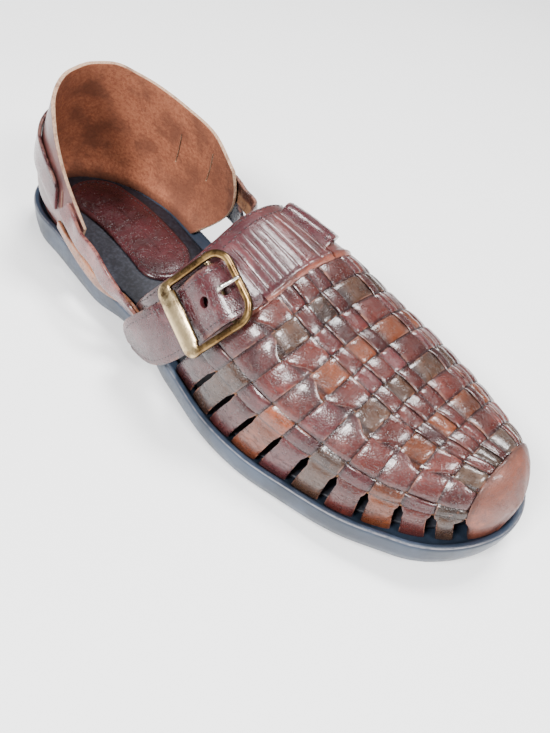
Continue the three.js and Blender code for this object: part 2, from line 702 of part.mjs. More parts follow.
// Prong: over the hinge, up through the strap and onto the far side of the frame
function prongShape(grow) {
  const plane = framePlane();
  const hingeU = mix(-plane.span / 2, plane.span / 2, hingeShare);
  const farU = plane.span / 2;
  const over = hingeThick / 2 + clearance + prongThick / 2;
  const rest = frameThick / 2 + clearance + prongThick / 2;
  const spots = [
    [hingeU - over, -hingeDrop, 1],
    [hingeU - over * 0.75, over * 0.75 - hingeDrop, 1],
    [hingeU, over + 0.1 - hingeDrop, 1],
    [hingeU + 3.5, over + 1.6, 1],
    [mix(hingeU, farU, 0.6), rest + 0.9, 0.9],
    [farU - 1.5, rest + 0.2, 0.75],
    [farU + frameSide / 2 + 0.6, rest, 0.6],
  ];
  const points = spots.map(([along, up]) => inFrame(plane, along, 0, up));
  return rod(points, spots.map(([, , size]) => size * prongThick / 2 + grow), 8, plane.across);
}

function buckleStrap() {
  const tip = [0, 0.002, 0.006, 0.013, 0.024, 0.04, 0.06];
  let body = strapSheet([...tip, ...strapSpots.filter((share) => share > 0.07)], 0, strapThick, 0);
  body = body.subtract(prongShape(0.45));
  return body.subtract(rod([onStrap(holeAt, 0, -1), onStrap(holeAt, 0, strapThick + 1)], holeSize / 2, 10));
}
const holeAt = 0.285;           // the free hole between the buckle's bar and its prong

// Slots that the strap dives through
const strapDives = [[0.325, 0.475], [0.56, 0.68]];
function strapSlots() {
  return strapDives.map(([from, to]) => strapSheet(
    [from, ...strapSpots.filter((share) => share > from && share < to), to],
    -2.3 * clearance, strapThick + 2.3 * clearance, 2.3 * clearance,
  ));
}

function meshOf(name, body) {
  const mesh = body.getMesh();
  let geometry = new THREE.BufferGeometry();
  geometry.setAttribute('position', new THREE.BufferAttribute(new Float32Array(mesh.vertProperties), 3));
  geometry.setIndex(Array.from(mesh.triVerts));
  geometry.translate(-heelCentre, 0, 0);
  geometry = mergeVertices(geometry, 1e-4);
  const piece = new THREE.Mesh(geometry, new THREE.MeshStandardMaterial());
  piece.name = name;
  return piece;
}

const sandal = new THREE.Group();
sandal.add(meshOf('outsole', outsole()));
sandal.add(meshOf('insole', insole()));
sandal.add(meshOf('heel_pad', heelPad()));
sandal.add(meshOf('upper_vamp', upperVamp()));
sandal.add(meshOf('heel_counter', heelCounter()));
sandal.add(meshOf('heel_strap', heelStrap()));
for (const strap of sideStraps) sandal.add(meshOf(strap.name, sideStrap(strap)));
sandal.add(meshOf('buckle_strap', buckleStrap()));
sandal.add(meshOf('buckle_frame', buckleFrame()));
sandal.add(meshOf('buckle_prong', prongShape(0)));
export default sandal;
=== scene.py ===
import math

import bmesh
import bpy
from mathutils import Matrix, Vector, noise


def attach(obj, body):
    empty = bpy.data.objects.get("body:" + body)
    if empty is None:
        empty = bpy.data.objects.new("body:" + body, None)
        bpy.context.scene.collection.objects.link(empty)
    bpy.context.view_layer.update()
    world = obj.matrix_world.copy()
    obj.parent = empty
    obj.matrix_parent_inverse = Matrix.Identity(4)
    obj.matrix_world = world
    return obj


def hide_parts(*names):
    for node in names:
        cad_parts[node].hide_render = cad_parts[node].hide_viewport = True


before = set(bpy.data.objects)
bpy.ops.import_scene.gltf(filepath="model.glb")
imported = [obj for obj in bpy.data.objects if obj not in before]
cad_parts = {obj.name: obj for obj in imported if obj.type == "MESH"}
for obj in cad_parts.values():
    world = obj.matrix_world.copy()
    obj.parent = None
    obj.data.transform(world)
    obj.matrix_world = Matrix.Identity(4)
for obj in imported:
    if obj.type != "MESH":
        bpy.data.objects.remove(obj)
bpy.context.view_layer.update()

# Lengths are in millimetres and x runs from the heel's back. metres() brings a point into the shared frame.

# Rubber sole: one black moulded unit with a raised lip, a footbed, an arch and grooves across its tread. Its
# side is smooth and greyed, its lip is scuffed pale.
HEEL_CENTRE = 38.0
SOLE_LENGTH = 289.0
SOLE_WIDTH = 103.0
SOLE_WALL = {"heel": 16.0, "toe": 12.0}
TOE_SPRING = 8.6
TOE_SWING = 8.0
ARCH_RISE = 5.0
HEEL_ROUND = 37.0
TOE_ROUND = 26.0
LIP_WIDTH = 3.0
RECESS = 2.5
GROOVE = {"depth": 1.6, "wide": 2.4}
GROOVES = (17.3, 28.9, 47.7, 59.2, 150.3, 161.8, 173.4, 185.0, 196.5)
# Half the sole's width on its outer and inner side along its length, all as shares.
OUTLINE = [
    (0, 0.3, 0.262), (0.13, 0.3, 0.318), (0.2, 0.322, 0.335), (0.3, 0.354, 0.295), (0.4, 0.362, 0.268),
    (0.5, 0.412, 0.315), (0.6, 0.47, 0.442), (0.68, 0.474, 0.498), (0.76, 0.435, 0.523), (0.84, 0.393, 0.495),
    (0.91, 0.33, 0.412), (0.96, 0.298, 0.346), (1, 0.27, 0.3),
]


def mix(low, high, share):
    return low + (high - low) * share


def clamp(value):
    return min(1.0, max(0.0, value))


def ease(value):
    value = clamp(value)
    return value * value * (3 - 2 * value)


def ripple(*spot):
    return noise.noise(Vector(spot))


def along(table, column, at):
    """A smooth curve through the chosen column of a table whose first column is the place."""
    last = len(table) - 1
    if at <= table[0][0]:
        return table[0][column]
    if at >= table[last][0]:
        return table[last][column]
    k = 0
    while table[k + 1][0] < at:
        k += 1

    def slope(j):
        before, after = table[max(0, j - 1)], table[min(last, j + 1)]
        return (after[column] - before[column]) / (after[0] - before[0])

    span = table[k + 1][0] - table[k][0]
    t = (at - table[k][0]) / span
    rise = table[k + 1][column] - table[k][column]
    start, end = slope(k) * span, slope(k + 1) * span
    return table[k][column] + t * (start + t * (3 * rise - 2 * start - end + t * (start + end - 2 * rise)))


def outer_half(x):
    return SOLE_WIDTH * along(OUTLINE, 1, x / SOLE_LENGTH)


def inner_half(x):
    return SOLE_WIDTH * along(OUTLINE, 2, x / SOLE_LENGTH)


def swing(x):
    return TOE_SWING * clamp((x / SOLE_LENGTH - 0.75) / 0.25) ** 2


def spring(x):
    return TOE_SPRING * clamp((x / SOLE_LENGTH - 0.68) / 0.32) ** 2


def lip_height(x):
    return spring(x) + mix(SOLE_WALL["heel"], SOLE_WALL["toe"], ease((x / SOLE_LENGTH - 0.25) / 0.35))


def footbed(x):
    return lip_height(x) - RECESS


def tread_height(x):
    arch = clamp((x / SOLE_LENGTH - 0.27) / 0.1) * clamp((0.5 - x / SOLE_LENGTH) / 0.08)
    return spring(x) + ARCH_RISE * math.sin(arch * math.pi / 2) ** 2


def end_round(x, start, end):
    heel, toe = clamp((x - start) / HEEL_ROUND), clamp((end - x) / TOE_ROUND)
    return math.sqrt(heel * (2 - heel)) * math.sqrt(toe * (2 - toe))


def rim(x, side, inset):
    """Point of the sole's outline at x, on the outer (-1) or inner (1) side, moved inwards by an inset."""
    half = outer_half if side < 0 else inner_half

    if x <= 0 or x >= SOLE_LENGTH:
        return Vector((inset if x <= 0 else SOLE_LENGTH - inset, swing(x)))

    def edge(at):
        at = min(SOLE_LENGTH, max(0.0, at))
        return Vector((at, side * half(at) * end_round(at, 0, SOLE_LENGTH) + swing(at)))

    step = 0.4
    tangent = (edge(x + step) - edge(x - step)).normalized()
    return edge(x) + Vector((-tangent.y, tangent.x)) * (-side) * inset


def metres(spot):
    return Vector(((spot.x - HEEL_CENTRE) / 1000, spot.y / 1000, spot.z / 1000))


class Value:
    """A shader socket that takes part in Python arithmetic."""

    def __init__(self, finish, socket):
        self.finish, self.socket = finish, socket

    def math(self, operation, *others):
        return self.finish.node("ShaderNodeMath", {"operation": operation}, dict(enumerate((self, *others))))

    def __add__(self, other):
        return self.math("ADD", other)

    def __sub__(self, other):
        return self.math("SUBTRACT", other)

    def __rsub__(self, other):
        return self.math("MULTIPLY_ADD", -1.0, other)

    def __mul__(self, other):
        return self.math("MULTIPLY", other)

    def within(self, low, high):
        """0 below low, 1 above high, eased between."""
        inputs = {"Value": self, "From Min": low, "From Max": high}
        return self.finish.node("ShaderNodeMapRange", {"interpolation_type": "SMOOTHSTEP"}, inputs)


class Finish:
    """A material: one Principled shader and the nodes that feed it."""

    def __init__(self, name, **fixed):
        self.material = bpy.data.materials.new(name)
        self.material.use_nodes = True
        self.tree = self.material.node_tree
        self.shader = self.tree.nodes["Principled BSDF"]
        for socket, value in fixed.items():
            self.shader.inputs[socket.replace("_", " ")].default_value = value

    def node(self, kind, settings=None, inputs=None, output=0):
        made = self.tree.nodes.new(kind)
        for name, value in (settings or {}).items():
            setattr(made, name, value)
        for key, value in (inputs or {}).items():
            self.feed(made.inputs[key], value)
        return Value(self, made.outputs[output])

    def feed(self, socket, value):
        if isinstance(value, Value):
            self.tree.links.new(value.socket, socket)
        else:
            socket.default_value = value

    def place(self):
        return self.node("ShaderNodeTexCoord", output="Object")

    def attribute(self, name):
        return self.node("ShaderNodeAttribute", {"attribute_name": name}, output="Color")

    def marks(self):
        """The three marks of a piece: place from its long edge, place from its end or dive, and chance."""
        parts = self.node("ShaderNodeSeparateColor", inputs={0: self.attribute("mark")})
        sockets = parts.socket.node.outputs
        return [Value(self, sockets[k]) for k in range(3)]

    def grain(self, stretch=(1.0, 1.0, 1.0)):
        """The piece's own map in metres: along it, then across it."""
        vector = self.node("ShaderNodeUVMap", {"uv_map": "grain"})
        return self.node("ShaderNodeMapping", inputs={"Vector": vector, "Scale": stretch})

    def noise(self, scale, detail=4.0, roughness=0.55, vector=None):
        inputs = {"Vector": vector or self.place(), "Scale": scale, "Detail": detail, "Roughness": roughness}
        return self.node("ShaderNodeTexNoise", inputs=inputs)

    def cells(self, scale):
        inputs = {"Vector": self.place(), "Scale": scale}
        return self.node("ShaderNodeTexVoronoi", inputs=inputs, output="Distance")

    def blend(self, first, second, share, way="MIX"):
        """Two colours, each three numbers or a node's value, mixed by a share."""
        made = self.tree.nodes.new("ShaderNodeMix")
        made.data_type, made.blend_type = "RGBA", way
        self.feed(made.inputs[0], share)
        for socket, colour in ((6, first), (7, second)):
            self.feed(made.inputs[socket], colour if isinstance(colour, Value) else (*colour, 1))
        return Value(self, made.outputs[2])

    def finish(self, colour, roughness, height=None, depth=0.0002, strength=1.0):
        self.feed(self.shader.inputs["Base Color"], colour)
        self.feed(self.shader.inputs["Roughness"], roughness)
        if height is not None:
            inputs = {"Height": height, "Distance": depth, "Strength": strength}
            self.feed(self.shader.inputs["Normal"], self.node("ShaderNodeBump", inputs=inputs))
        return self.material


def patch(bm, lengthways, across, place, marks=None, tint=None, grain=None):
    """Adds a grid to a mesh. Place gives a point in millimetres for a spot and a lift off the face."""
    plain = (0.5, 0.5, 0.5)
    layers = [bm.loops.layers.uv.get("grain") or bm.loops.layers.uv.new("grain")]
    for name in ("mark", "tint"):
        layers.append(bm.loops.layers.float_color.get(name) or bm.loops.layers.float_color.new(name))
    count = (len(lengthways) - 1, len(across) - 1)
    made = bmesh.ops.create_grid(bm, x_segments=count[0], y_segments=count[1], size=1.0)["verts"]
    spots = {}
    for vert in made:
        i, j = (round((vert.co[k] + 1) / 2 * count[k]) for k in (0, 1))
        spots[vert] = (lengthways[i], across[j])
    faces = {face for vert in made for face in vert.link_faces}
    for face in faces:
        for loop in face.loops:
            u, v = spots[loop.vert]
            loop[layers[0]].uv = grain(u, v) if grain else (u / 1000, v / 1000)
            loop[layers[1]] = (*(marks(u, v) if marks else plain), 1.0)
            loop[layers[2]] = (*(tint(u, v) if tint else plain), 1.0)
    for vert, (u, v) in spots.items():
        vert.co = metres(place(u, v, 0))
    middle = (lengthways[len(lengthways) // 2], across[len(across) // 2])
    centre = place(*middle, 0)
    outward = place(*middle, 1) - centre
    nearest = min(faces, key=lambda face: (face.calc_center_median() - metres(centre)).length)
    nearest.normal_update()
    if nearest.normal.dot(outward) < 0:
        bmesh.ops.reverse_faces(bm, faces=list(faces))
    return spots


def faces_where(bm, spots, inside):
    """The faces of a patch whose middle passes a test."""
    found = []
    for face in bm.faces:
        if inside(*(sum(spots[vert][k] for vert in face.verts) / 4 for k in (0, 1))):
            found.append(face)
    return found


def weld(bm):
    """Joins the rows of a closed patch that meet and turns its faces outwards."""
    bmesh.ops.remove_doubles(bm, verts=bm.verts, dist=1e-6)
    bmesh.ops.dissolve_degenerate(bm, edges=bm.edges, dist=1e-7)
    bmesh.ops.recalc_face_normals(bm, faces=bm.faces)


def piece(name, bm, *finishes, slot, thick=0.0, edge=0.0, replaces=()):
    """Makes the object, gives it a thickness behind its face and soft edges, and hides the parts it replaces.
    """
    mesh = bpy.data.meshes.new(name)
    bm.normal_update()
    bm.to_mesh(mesh)
    bm.free()
    mesh.polygons.foreach_set("use_smooth", [True] * len(mesh.polygons))
    for finish in finishes:
        mesh.materials.append(finish)
    made = bpy.data.objects.new(name, mesh)
    bpy.context.collection.objects.link(made)
    if thick:
        solid = made.modifiers.new("thickness", "SOLIDIFY")
        solid.thickness, solid.offset = thick / 1000, -1.0
        solid.material_offset = min(1, len(finishes) - 1)
        solid.material_offset_rim = len(finishes) - 1
    if edge:
        soft = made.modifiers.new("soft edges", "BEVEL")
        soft.width, soft.segments = edge / 1000, 2
        soft.limit_method, soft.angle_limit = "ANGLE", math.radians(50)
    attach(made, "root")
    if replaces:
        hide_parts(*replaces)


def shares(count):
    return [k / count for k in range(count + 1)]


def spread(count):
    """Places from -1 at one edge to 1 at the other."""
    return [2 * share - 1 for share in shares(count)]


rubber = Finish("black rubber", IOR=1.5)
scuff = rubber.noise(420, 6)
dust = rubber.noise(60, 5)
lip_mark = rubber.marks()[0]
worn = (lip_mark.within(0.55, 0.95) * (scuff.within(0.3, 0.62) * 0.5 + 0.2)) * 0.8
grey = rubber.blend((0.016, 0.024, 0.04), (0.034, 0.052, 0.085), dust.within(0.35, 0.7))
sole_colour = rubber.blend(grey, (0.26, 0.24, 0.25), worn)
rubber_skin = rubber.finish(sole_colour, scuff * 0.25 + 0.27, scuff + dust * 0.5, 0.00012, 0.45)

SPINE_END = 9.0
# A row for each line along the sole: how far inside its outline, its height, and how worn it is.
SOLE_PROFILE = [
    ("spine", tread_height, 0),
    (8.0, tread_height, 0),
    (5.2, tread_height, 0),
    (2.2, lambda x: tread_height(x) + 0.15, 0),
    (1.2, lambda x: tread_height(x) + 1.0, 0),
    (0.35, lambda x: mix(tread_height(x), lip_height(x), 0.4), 0),
    (0.05, lambda x: lip_height(x) - 1.6, 0),
    (0.25, lambda x: lip_height(x) - 0.45, 0.5),
    (0.7, lip_height, 1),
    (1.3, lip_height, 0.35),
    (2.4, lip_height, 0),
    (3.0, lambda x: lip_height(x) - 0.4, 0),
    (3.3, footbed, 0),
    ("spine", footbed, 0),
]
sole_stations = sorted(
    [SOLE_LENGTH * (1 - math.cos(math.pi * share)) / 2 for share in shares(90)]
    + [x + side * GROOVE["wide"] / 2 + step for x in GROOVES for side in (-1, 1) for step in (-0.05, 0.05)]
)
around = [(x, -1) for x in sole_stations] + [(x, 1) for x in reversed(sole_stations)]


def sole_point(station, row, lift):
    x, side = around[station]
    inset, height, _ = SOLE_PROFILE[row]
    if inset == "spine":
        x = min(max(x, SPINE_END), SOLE_LENGTH - SPINE_END)
        spot = (rim(x, -1, 0) + rim(x, 1, 0)) / 2
    else:
        spot = rim(x, side, inset)
    z = height(spot.x)
    if row <= 1 and any(abs(x - at) < GROOVE["wide"] / 2 for at in GROOVES):
        z += GROOVE["depth"]
    return Vector((spot.x, spot.y, z + lift))


sole = bmesh.new()
patch(
    sole, range(len(around)), range(len(SOLE_PROFILE)), sole_point,
    marks=lambda station, row: (SOLE_PROFILE[row][2], 0, 0),
)
weld(sole)
piece("sole_body", sole, rubber_skin, replaces=["outsole"], slot="rubber")

# Insole: smooth black lining glued into the recess of the sole, seen behind the straps and between the tabs.
CLEARANCE = 0.3
BESIDE_LIP = LIP_WIDTH + 0.4 + 2.6 * CLEARANCE
STRIP_RAISE = 1.1
WALL = 1.4
INSOLE_THICK = 1.6
# The crest's height as a share of the instep's, and how much further in the upper stands, along the sole.
CREST = [
    (0.3, 1.04, 0.0), (0.47, 0.99, 0.0), (0.52, 1.0, 0.0), (0.6, 0.92, 0.0), (0.68, 0.80, 0.0),
    (0.76, 0.70, 0.0), (0.84, 0.625, 0.6), (0.91, 0.59, 2.2), (0.96, 0.56, 3.5), (1.0, 0.31, 3.5),
]


def upper_inset(x):
    return BESIDE_LIP + STRIP_RAISE + along(CREST, 2, x / SOLE_LENGTH)


lining = Finish("black lining", IOR=1.45)
lint = lining.noise(700, 5)
lining_colour = lining.blend((0.006, 0.007, 0.012), (0.022, 0.024, 0.035), lint.within(0.4, 0.7))
lining_skin = lining.finish(lining_colour, lint * 0.2 + 0.45, lint, 0.0001, 0.6)

INSOLE_ROWS = [
    ("spine", 0.0), (1.0, 0.0), (0.0, 0.1), (0.0, INSOLE_THICK - 0.3), (0.5, INSOLE_THICK),
    ("spine", INSOLE_THICK),
]


def insole_point(station, row, lift):
    x, side = around[station]
    edge, rise = INSOLE_ROWS[row]
    reach = upper_inset(x) + WALL + 3 * CLEARANCE
    if edge == "spine":
        x = min(max(x, reach + SPINE_END), SOLE_LENGTH - reach - SPINE_END)
        spot = (rim(x, -1, 0) + rim(x, 1, 0)) / 2
    else:
        spot = rim(x, side, reach + edge)
    return Vector((spot.x, spot.y, footbed(spot.x) + CLEARANCE + rise + lift))


insole = bmesh.new()
patch(insole, range(len(around)), range(len(INSOLE_ROWS)), insole_point)
weld(insole)
piece("insole_lining", insole, lining_skin, replaces=["insole"], slot="insole")

# Woven toe: glossy leather strips from a plum hide, ten across and twelve lengthways, each over one and under
# the next. The cross strips end as free tabs, tucked down inside the lip. A lining closes it from inside.
VAMP_HEIGHT = 78.0
UPPER_TIP = 284.0
BRIDGE_BACK, BRIDGE_FRONT, WEAVE_FRONT = 143.0, 175.0, 272.0
WEAVE_ROWS = 10
CAP_ROW = WEAVE_ROWS + 1
BRIDGE_TAB = 0.86
CREST_LEAN = 4.0
WAIST = {"at": 118.0, "reach": 36.0, "outer": 8.5, "inner": 6.5, "turn": 0.13}
BENDS = [(0, 30.0), (1, 25.0), (3, 17.0), (5, 7.0), (7, -2.0), (8.5, -6.0), (10, -6.0)]
BEND_AT_BACK = 35.0
TAB = 0.11
LANES = [0, TAB, 0.165, 0.28, 0.365, 0.41, 0.46, 0.495, 0.57, 0.605, 0.65, 0.72, 0.835, 1 - TAB, 1]
LAST_LANE = len(LANES) - 2
SEAM = 0.3
DIVE = 0.3


def skin(x, turn):
    """The upper's skin: turn runs from 0 at the outer edge over the crest to 1 at the inner edge."""
    edge = upper_inset(x)
    tip = clamp((UPPER_TIP - x) / TOE_ROUND)
    narrow = max(0.2, (tip * (2 - tip)) ** 0.4)
    ends = []
    for side, half in ((-1, outer_half), (1, inner_half)):
        inset = edge * math.hypot(1, (half(x + 1) - half(x - 1)) / 2)
        ends.append(swing(x) + side * (half(x) - inset) * narrow)
    base = footbed(x) + 2.7 * CLEARANCE
    high = VAMP_HEIGHT * along(CREST, 1, x / SOLE_LENGTH) - base
    c, s = math.cos(turn * math.pi), math.sin(turn * math.pi)
    y = (ends[0] + ends[1]) / 2 - (ends[1] - ends[0]) / 2 * math.copysign(abs(c) ** 0.8, c)
    waist = math.exp(-((x - WAIST["at"]) / WAIST["reach"]) ** 2)

    def low(share):
        share = max(0.0, share)
        return (share / WAIST["turn"] * math.exp(1 - share / WAIST["turn"])) ** 1.6

    bulge = waist * (WAIST["inner"] * low(1 - turn) - WAIST["outer"] * low(turn))
    lean = CREST_LEAN * narrow * s * s
    return Vector((x, y + lean + bulge, base + high * math.copysign(abs(s) ** 0.85, s)))


def skin_normal(x, turn):
    t = min(0.985, max(0.015, turn))
    lengthways = skin(x + 1, t) - skin(x - 1, t)
    return lengthways.cross(skin(x, t + 0.008) - skin(x, t - 0.008)).normalized()


def on_skin(x, turn, lift):
    return skin(x, turn) + skin_normal(x, turn) * lift


def row_line(row, turn):
    """A line across the upper: row 0 is the bridge's back, 1 its front, 11 the toe cap's edge, 12 the tip."""
    side = clamp(max(0.4 - turn, turn - 0.6) / 0.4) ** 2
    if row <= 1:
        return mix(BRIDGE_BACK - BEND_AT_BACK * side, BRIDGE_FRONT - BENDS[0][1] * side, row)
    share = (min(row, CAP_ROW) - 1) / WEAVE_ROWS
    line = mix(BRIDGE_FRONT, WEAVE_FRONT, share) - along(BENDS, 1, share * WEAVE_ROWS) * side
    return line if row <= CAP_ROW else mix(line, UPPER_TIP, row - CAP_ROW)


def lane_edge(lane, row):
    """Lane edges run along the shoe; the one beside the outer runner slants from band to band."""
    slant = 0.018 * math.cos(math.pi * row) if lane == 3 else 0.0
    return LANES[lane] + slant


TAB_GAPS = {2: 1.6, 3: 1.6, 4: 1.6, 5: 1.6, 6: 2.4, 7: 2.4, 8: 2.4, 9: 2.4, 10: 2.6, 11: 5.5}


def on_tab(turn):
    """1 on the free tabs at the foot of the upper, eased to 0 above them."""
    return 1 - ease((min(turn, 1 - turn) - 0.085) / 0.02)


def gap_half(row, turn):
    """Half the free gap between two tabs at a row line: full at the tab, closed where the runner starts."""
    return TAB_GAPS.get(row, 0) / 2 * on_tab(turn)


def strip_lift(place_in_cell, over):
    """Height of a strip's face along a cell: full in the middle, level with its neighbour where it dives."""
    arch = math.sin(math.pi * place_in_cell) ** 0.55
    return DIVE + (STRIP_RAISE - DIVE) * arch if over else DIVE - 2 * DIVE * arch


def edge_drop(across):
    """Rounded long edges of a cut strip."""
    return 0.42 * abs(2 * across - 1) ** 7


CROSS_TINTS = [
    (0.075, 0.018, 0.017), (0.062, 0.028, 0.016), (0.085, 0.017, 0.016), (0.17, 0.042, 0.016),
    (0.105, 0.027, 0.027), (0.066, 0.03, 0.017), (0.085, 0.018, 0.015), (0.16, 0.042, 0.016),
    (0.085, 0.02, 0.017), (0.064, 0.036, 0.024),
]
RUNNER_TINTS = [
    (0.064, 0.014, 0.016), (0.09, 0.026, 0.024), (0.105, 0.023, 0.018), (0.07, 0.016, 0.014),
    (0.09, 0.02, 0.016), (0.066, 0.015, 0.013), (0.088, 0.02, 0.016), (0.074, 0.017, 0.014),
    (0.09, 0.021, 0.016), (0.066, 0.015, 0.013), (0.078, 0.019, 0.015), (0.062, 0.015, 0.013),
]


def chance(*seeds):
    return noise.cell(Vector([seed * 3.71 + 0.5 for seed in (*seeds, 0, 0)][:3])) % 1.0


def shade(colour, *seeds):
    """A strip's colour, a little lighter or darker from cell to cell."""
    lighter = 0.52 + 0.42 * chance(*seeds)
    warmer = 0.94 + 0.12 * chance(*reversed(seeds))
    return (colour[0] * lighter * warmer, colour[1] * lighter, colour[2] * lighter / warmer)


def cross_strips():
    bm = bmesh.new()
    for band in range(1, WEAVE_ROWS + 1):
        cells = [(lane, share) for lane in range(LAST_LANE + 1) for share in shares(9)[:-1]]
        cells.append((LAST_LANE, 1.0))

        def turn_at(cell):
            lane, share = cells[cell]
            return mix(lane_edge(lane, band + 0.5), lane_edge(lane + 1, band + 0.5), share)

        def place(cell, across, lift):
            lane, share = cells[cell]
            turn = turn_at(cell)
            start = row_line(band, turn) + gap_half(band, turn) + SEAM
            if band == 1 and min(turn, 1 - turn) < TAB:
                start = mix(start, row_line(BRIDGE_TAB, turn) + 5.4, on_tab(turn))
            end = row_line(band + 1, turn) - gap_half(band + 1, turn) - SEAM
            if lane in (0, LAST_LANE):
                inner = 1 - share if lane else share
                height = strip_lift(mix(0.5, 1.0, ease((inner - 0.6) / 0.4)), True)
            else:
                height = strip_lift(share, (band + lane) % 2 == 1)
            wave = 0.16 * ripple(turn * 60, band * 9.1, across * 1.5)
            return on_skin(mix(start, end, across), turn, height - edge_drop(across) + wave + lift)

        def marks(cell, across):
            lane, share = cells[cell]
            dive = 1.0 if lane in (0, LAST_LANE) else 2 * min(share, 1 - share)
            return (1 - abs(2 * across - 1), dive, chance(band, lane))

        patch(
            bm, range(len(cells)), shares(10), place, marks=marks,
            tint=lambda cell, across: shade(CROSS_TINTS[band - 1], band, cells[cell][0]),
            grain=lambda cell, across: (0.19 * turn_at(cell) + band, 0.0095 * across),
        )
    return bm


def runners():
    bm = bmesh.new()
    for lane in range(1, LAST_LANE):
        rows = [band + share for band in range(1, WEAVE_ROWS + 1) for share in shares(8)[:-1]] + [CAP_ROW]

        def place(row, across, lift):
            band = min(WEAVE_ROWS, int(row))
            width = lane_edge(lane + 1, row) - lane_edge(lane, row)
            seam = SEAM / 190
            turn = mix(lane_edge(lane, row) + seam, lane_edge(lane + 1, row) - seam, across)
            height = strip_lift(row - band, (band + lane) % 2 == 0)
            wave = 0.16 * ripple(row * 0.9, lane * 7.3, across * width * 60)
            return on_skin(row_line(row, turn), turn, height - edge_drop(across) + wave + lift)

        def marks(row, across):
            band = min(WEAVE_ROWS, int(row))
            share = row - band
            return (1 - abs(2 * across - 1), 2 * min(share, 1 - share), chance(band, lane, 5))

        patch(
            bm, rows, shares(10), place, marks=marks,
            tint=lambda row, across: shade(RUNNER_TINTS[lane - 1], min(WEAVE_ROWS, int(row)), lane, 3),
            grain=lambda row, across: (0.0097 * row + lane, 0.19 * (LANES[lane + 1] - LANES[lane]) * across),
        )
    return bm


def leather(name, gloss=0.3, edge_tone=(0.24, 0.095, 0.06), dark=0.9, wear=1.0, coat=0.35):
    """Worn full-grain leather: mottled tone, creases across the strip, pores, scuffs and paler edges. Its
    dives, edges and creases are darkened with painted shade.
    """
    made = Finish(name, IOR=1.5, Coat_Weight=coat, Coat_Roughness=0.14)
    base = made.attribute("tint")
    edge, dive, _ = made.marks()
    cloud = made.noise(70, 4)
    blotch = made.noise(230, 5, 0.6)
    pores = made.cells(1500)
    crease = made.noise(260, 3, 0.5, vector=made.grain((2.6, 0.7, 1)))
    fold = 1 - (crease - 0.5).math("ABSOLUTE").within(0.0, 0.03)
    scratch = made.noise(520, 2, 0.4, vector=made.grain((0.5, 2.8, 1)))
    rub = cloud.within(0.5, 0.7) * blotch.within(0.4, 0.62)
    rubbed, shaded = (made.blend(base, by, 1.0, "MULTIPLY") for by in ((2.0, 1.9, 1.7), (0.42, 0.36, 0.42)))
    colour = made.blend(base, rubbed, rub * 0.8)
    colour = made.blend(colour, shaded, (1 - cloud.within(0.32, 0.52)) * 0.8)
    line = scratch.within(0.66, 0.7) * (1 - cloud.within(0.4, 0.7)) * 0.6
    frayed = (1 - edge.within(0.02, 0.12)) * blotch.within(0.44, 0.6)
    colour = made.blend(colour, edge_tone, (frayed * 0.7 + line * 0.55) * wear)
    # Painted shade: darker where the dive mark is low (where a strip dives under the crossing strip, beside
    # the bridge's slits, at the counter's foot) and along each piece's long edges in the seams between
    # pieces. dark sets how strong it is.
    painted_dive_shade = (1 - dive.within(0.0, 0.26)) * 0.85
    seam = (1 - edge.within(0.0, 0.09)) * (1 - frayed) * 0.6
    colour = made.blend(colour, (0.012, 0.006, 0.007), (painted_dive_shade + seam) * dark)
    # Painted shade in the creases across the strip.
    colour = made.blend(colour, (0.016, 0.007, 0.007), fold * 0.45)
    roughness = blotch * 0.28 + (gloss - 0.18) + pores * 0.05 + frayed * 0.2
    height = blotch * 0.55 - fold * 0.7 + pores * 0.35 + cloud * 0.6 - line * 0.4
    return made.finish(colour, roughness, height, 0.0004, 0.5)


woven_leather = leather("woven leather")
piece("vamp_cross_strips", cross_strips(), woven_leather, thick=0.9, edge=0.22, slot="woven")
piece("vamp_runners", runners(), woven_leather, thick=0.9, edge=0.22, slot="woven")
LINING_DEPTH = -0.85


def lining_point(row, turn, lift):
    return on_skin(row_line(row, turn), turn, LINING_DEPTH + lift)


suede = Finish("tan suede", IOR=1.4)
nap = suede.noise(900, 6, 0.7)
stain = suede.noise(45, 4)
soft_tan = suede.blend((0.19, 0.085, 0.038), (0.33, 0.16, 0.075), nap.within(0.3, 0.7))
soft_tan = suede.blend(soft_tan, (0.12, 0.05, 0.028), (1 - stain.within(0.3, 0.55)) * 0.6)
suede_skin = suede.finish(soft_tan, nap * 0.1 + 0.8, nap + stain * 0.5, 0.0004, 0.7)

weave_back = bmesh.new()
lining_rows = [0.3 + 0.3 * k for k in range(37)] + [11.5, 11.8]
patch(weave_back, lining_rows, [mix(0.1, 0.9, share) for share in shares(50)], lining_point)
piece("vamp_lining", weave_back, suede_skin, thick=0.5, slot="woven")

# Instep bridge: one broad piece of the same hide over the weave's back, hemmed with two rows of black thread,
# with fine cuts over the crest and a worn roll in front. The buckle strap runs through two slots in it.
BRIDGE_RAISE = 0.9
RIDGE_RAISE = 1.3
BRIDGE_TONE = (0.055, 0.011, 0.014)
SLITS = [0.352 + 0.0262 * k for k in range(8)]
SLIT_X = (150.0, 173.5)
SLIT_DEEP = 0.35
SLIT_HALF = 0.0018
SLOTS = [(0.316, 0.334), (0.545, 0.553)]
SLOT_ROWS = (0.26, 0.995)
STRAP_WIDTH = 23.0
STRAP_THICK = 2.0
OVER_BRIDGE = RIDGE_RAISE + CLEARANCE
UNDER_BRIDGE = -WALL - 3 * CLEARANCE - STRAP_THICK
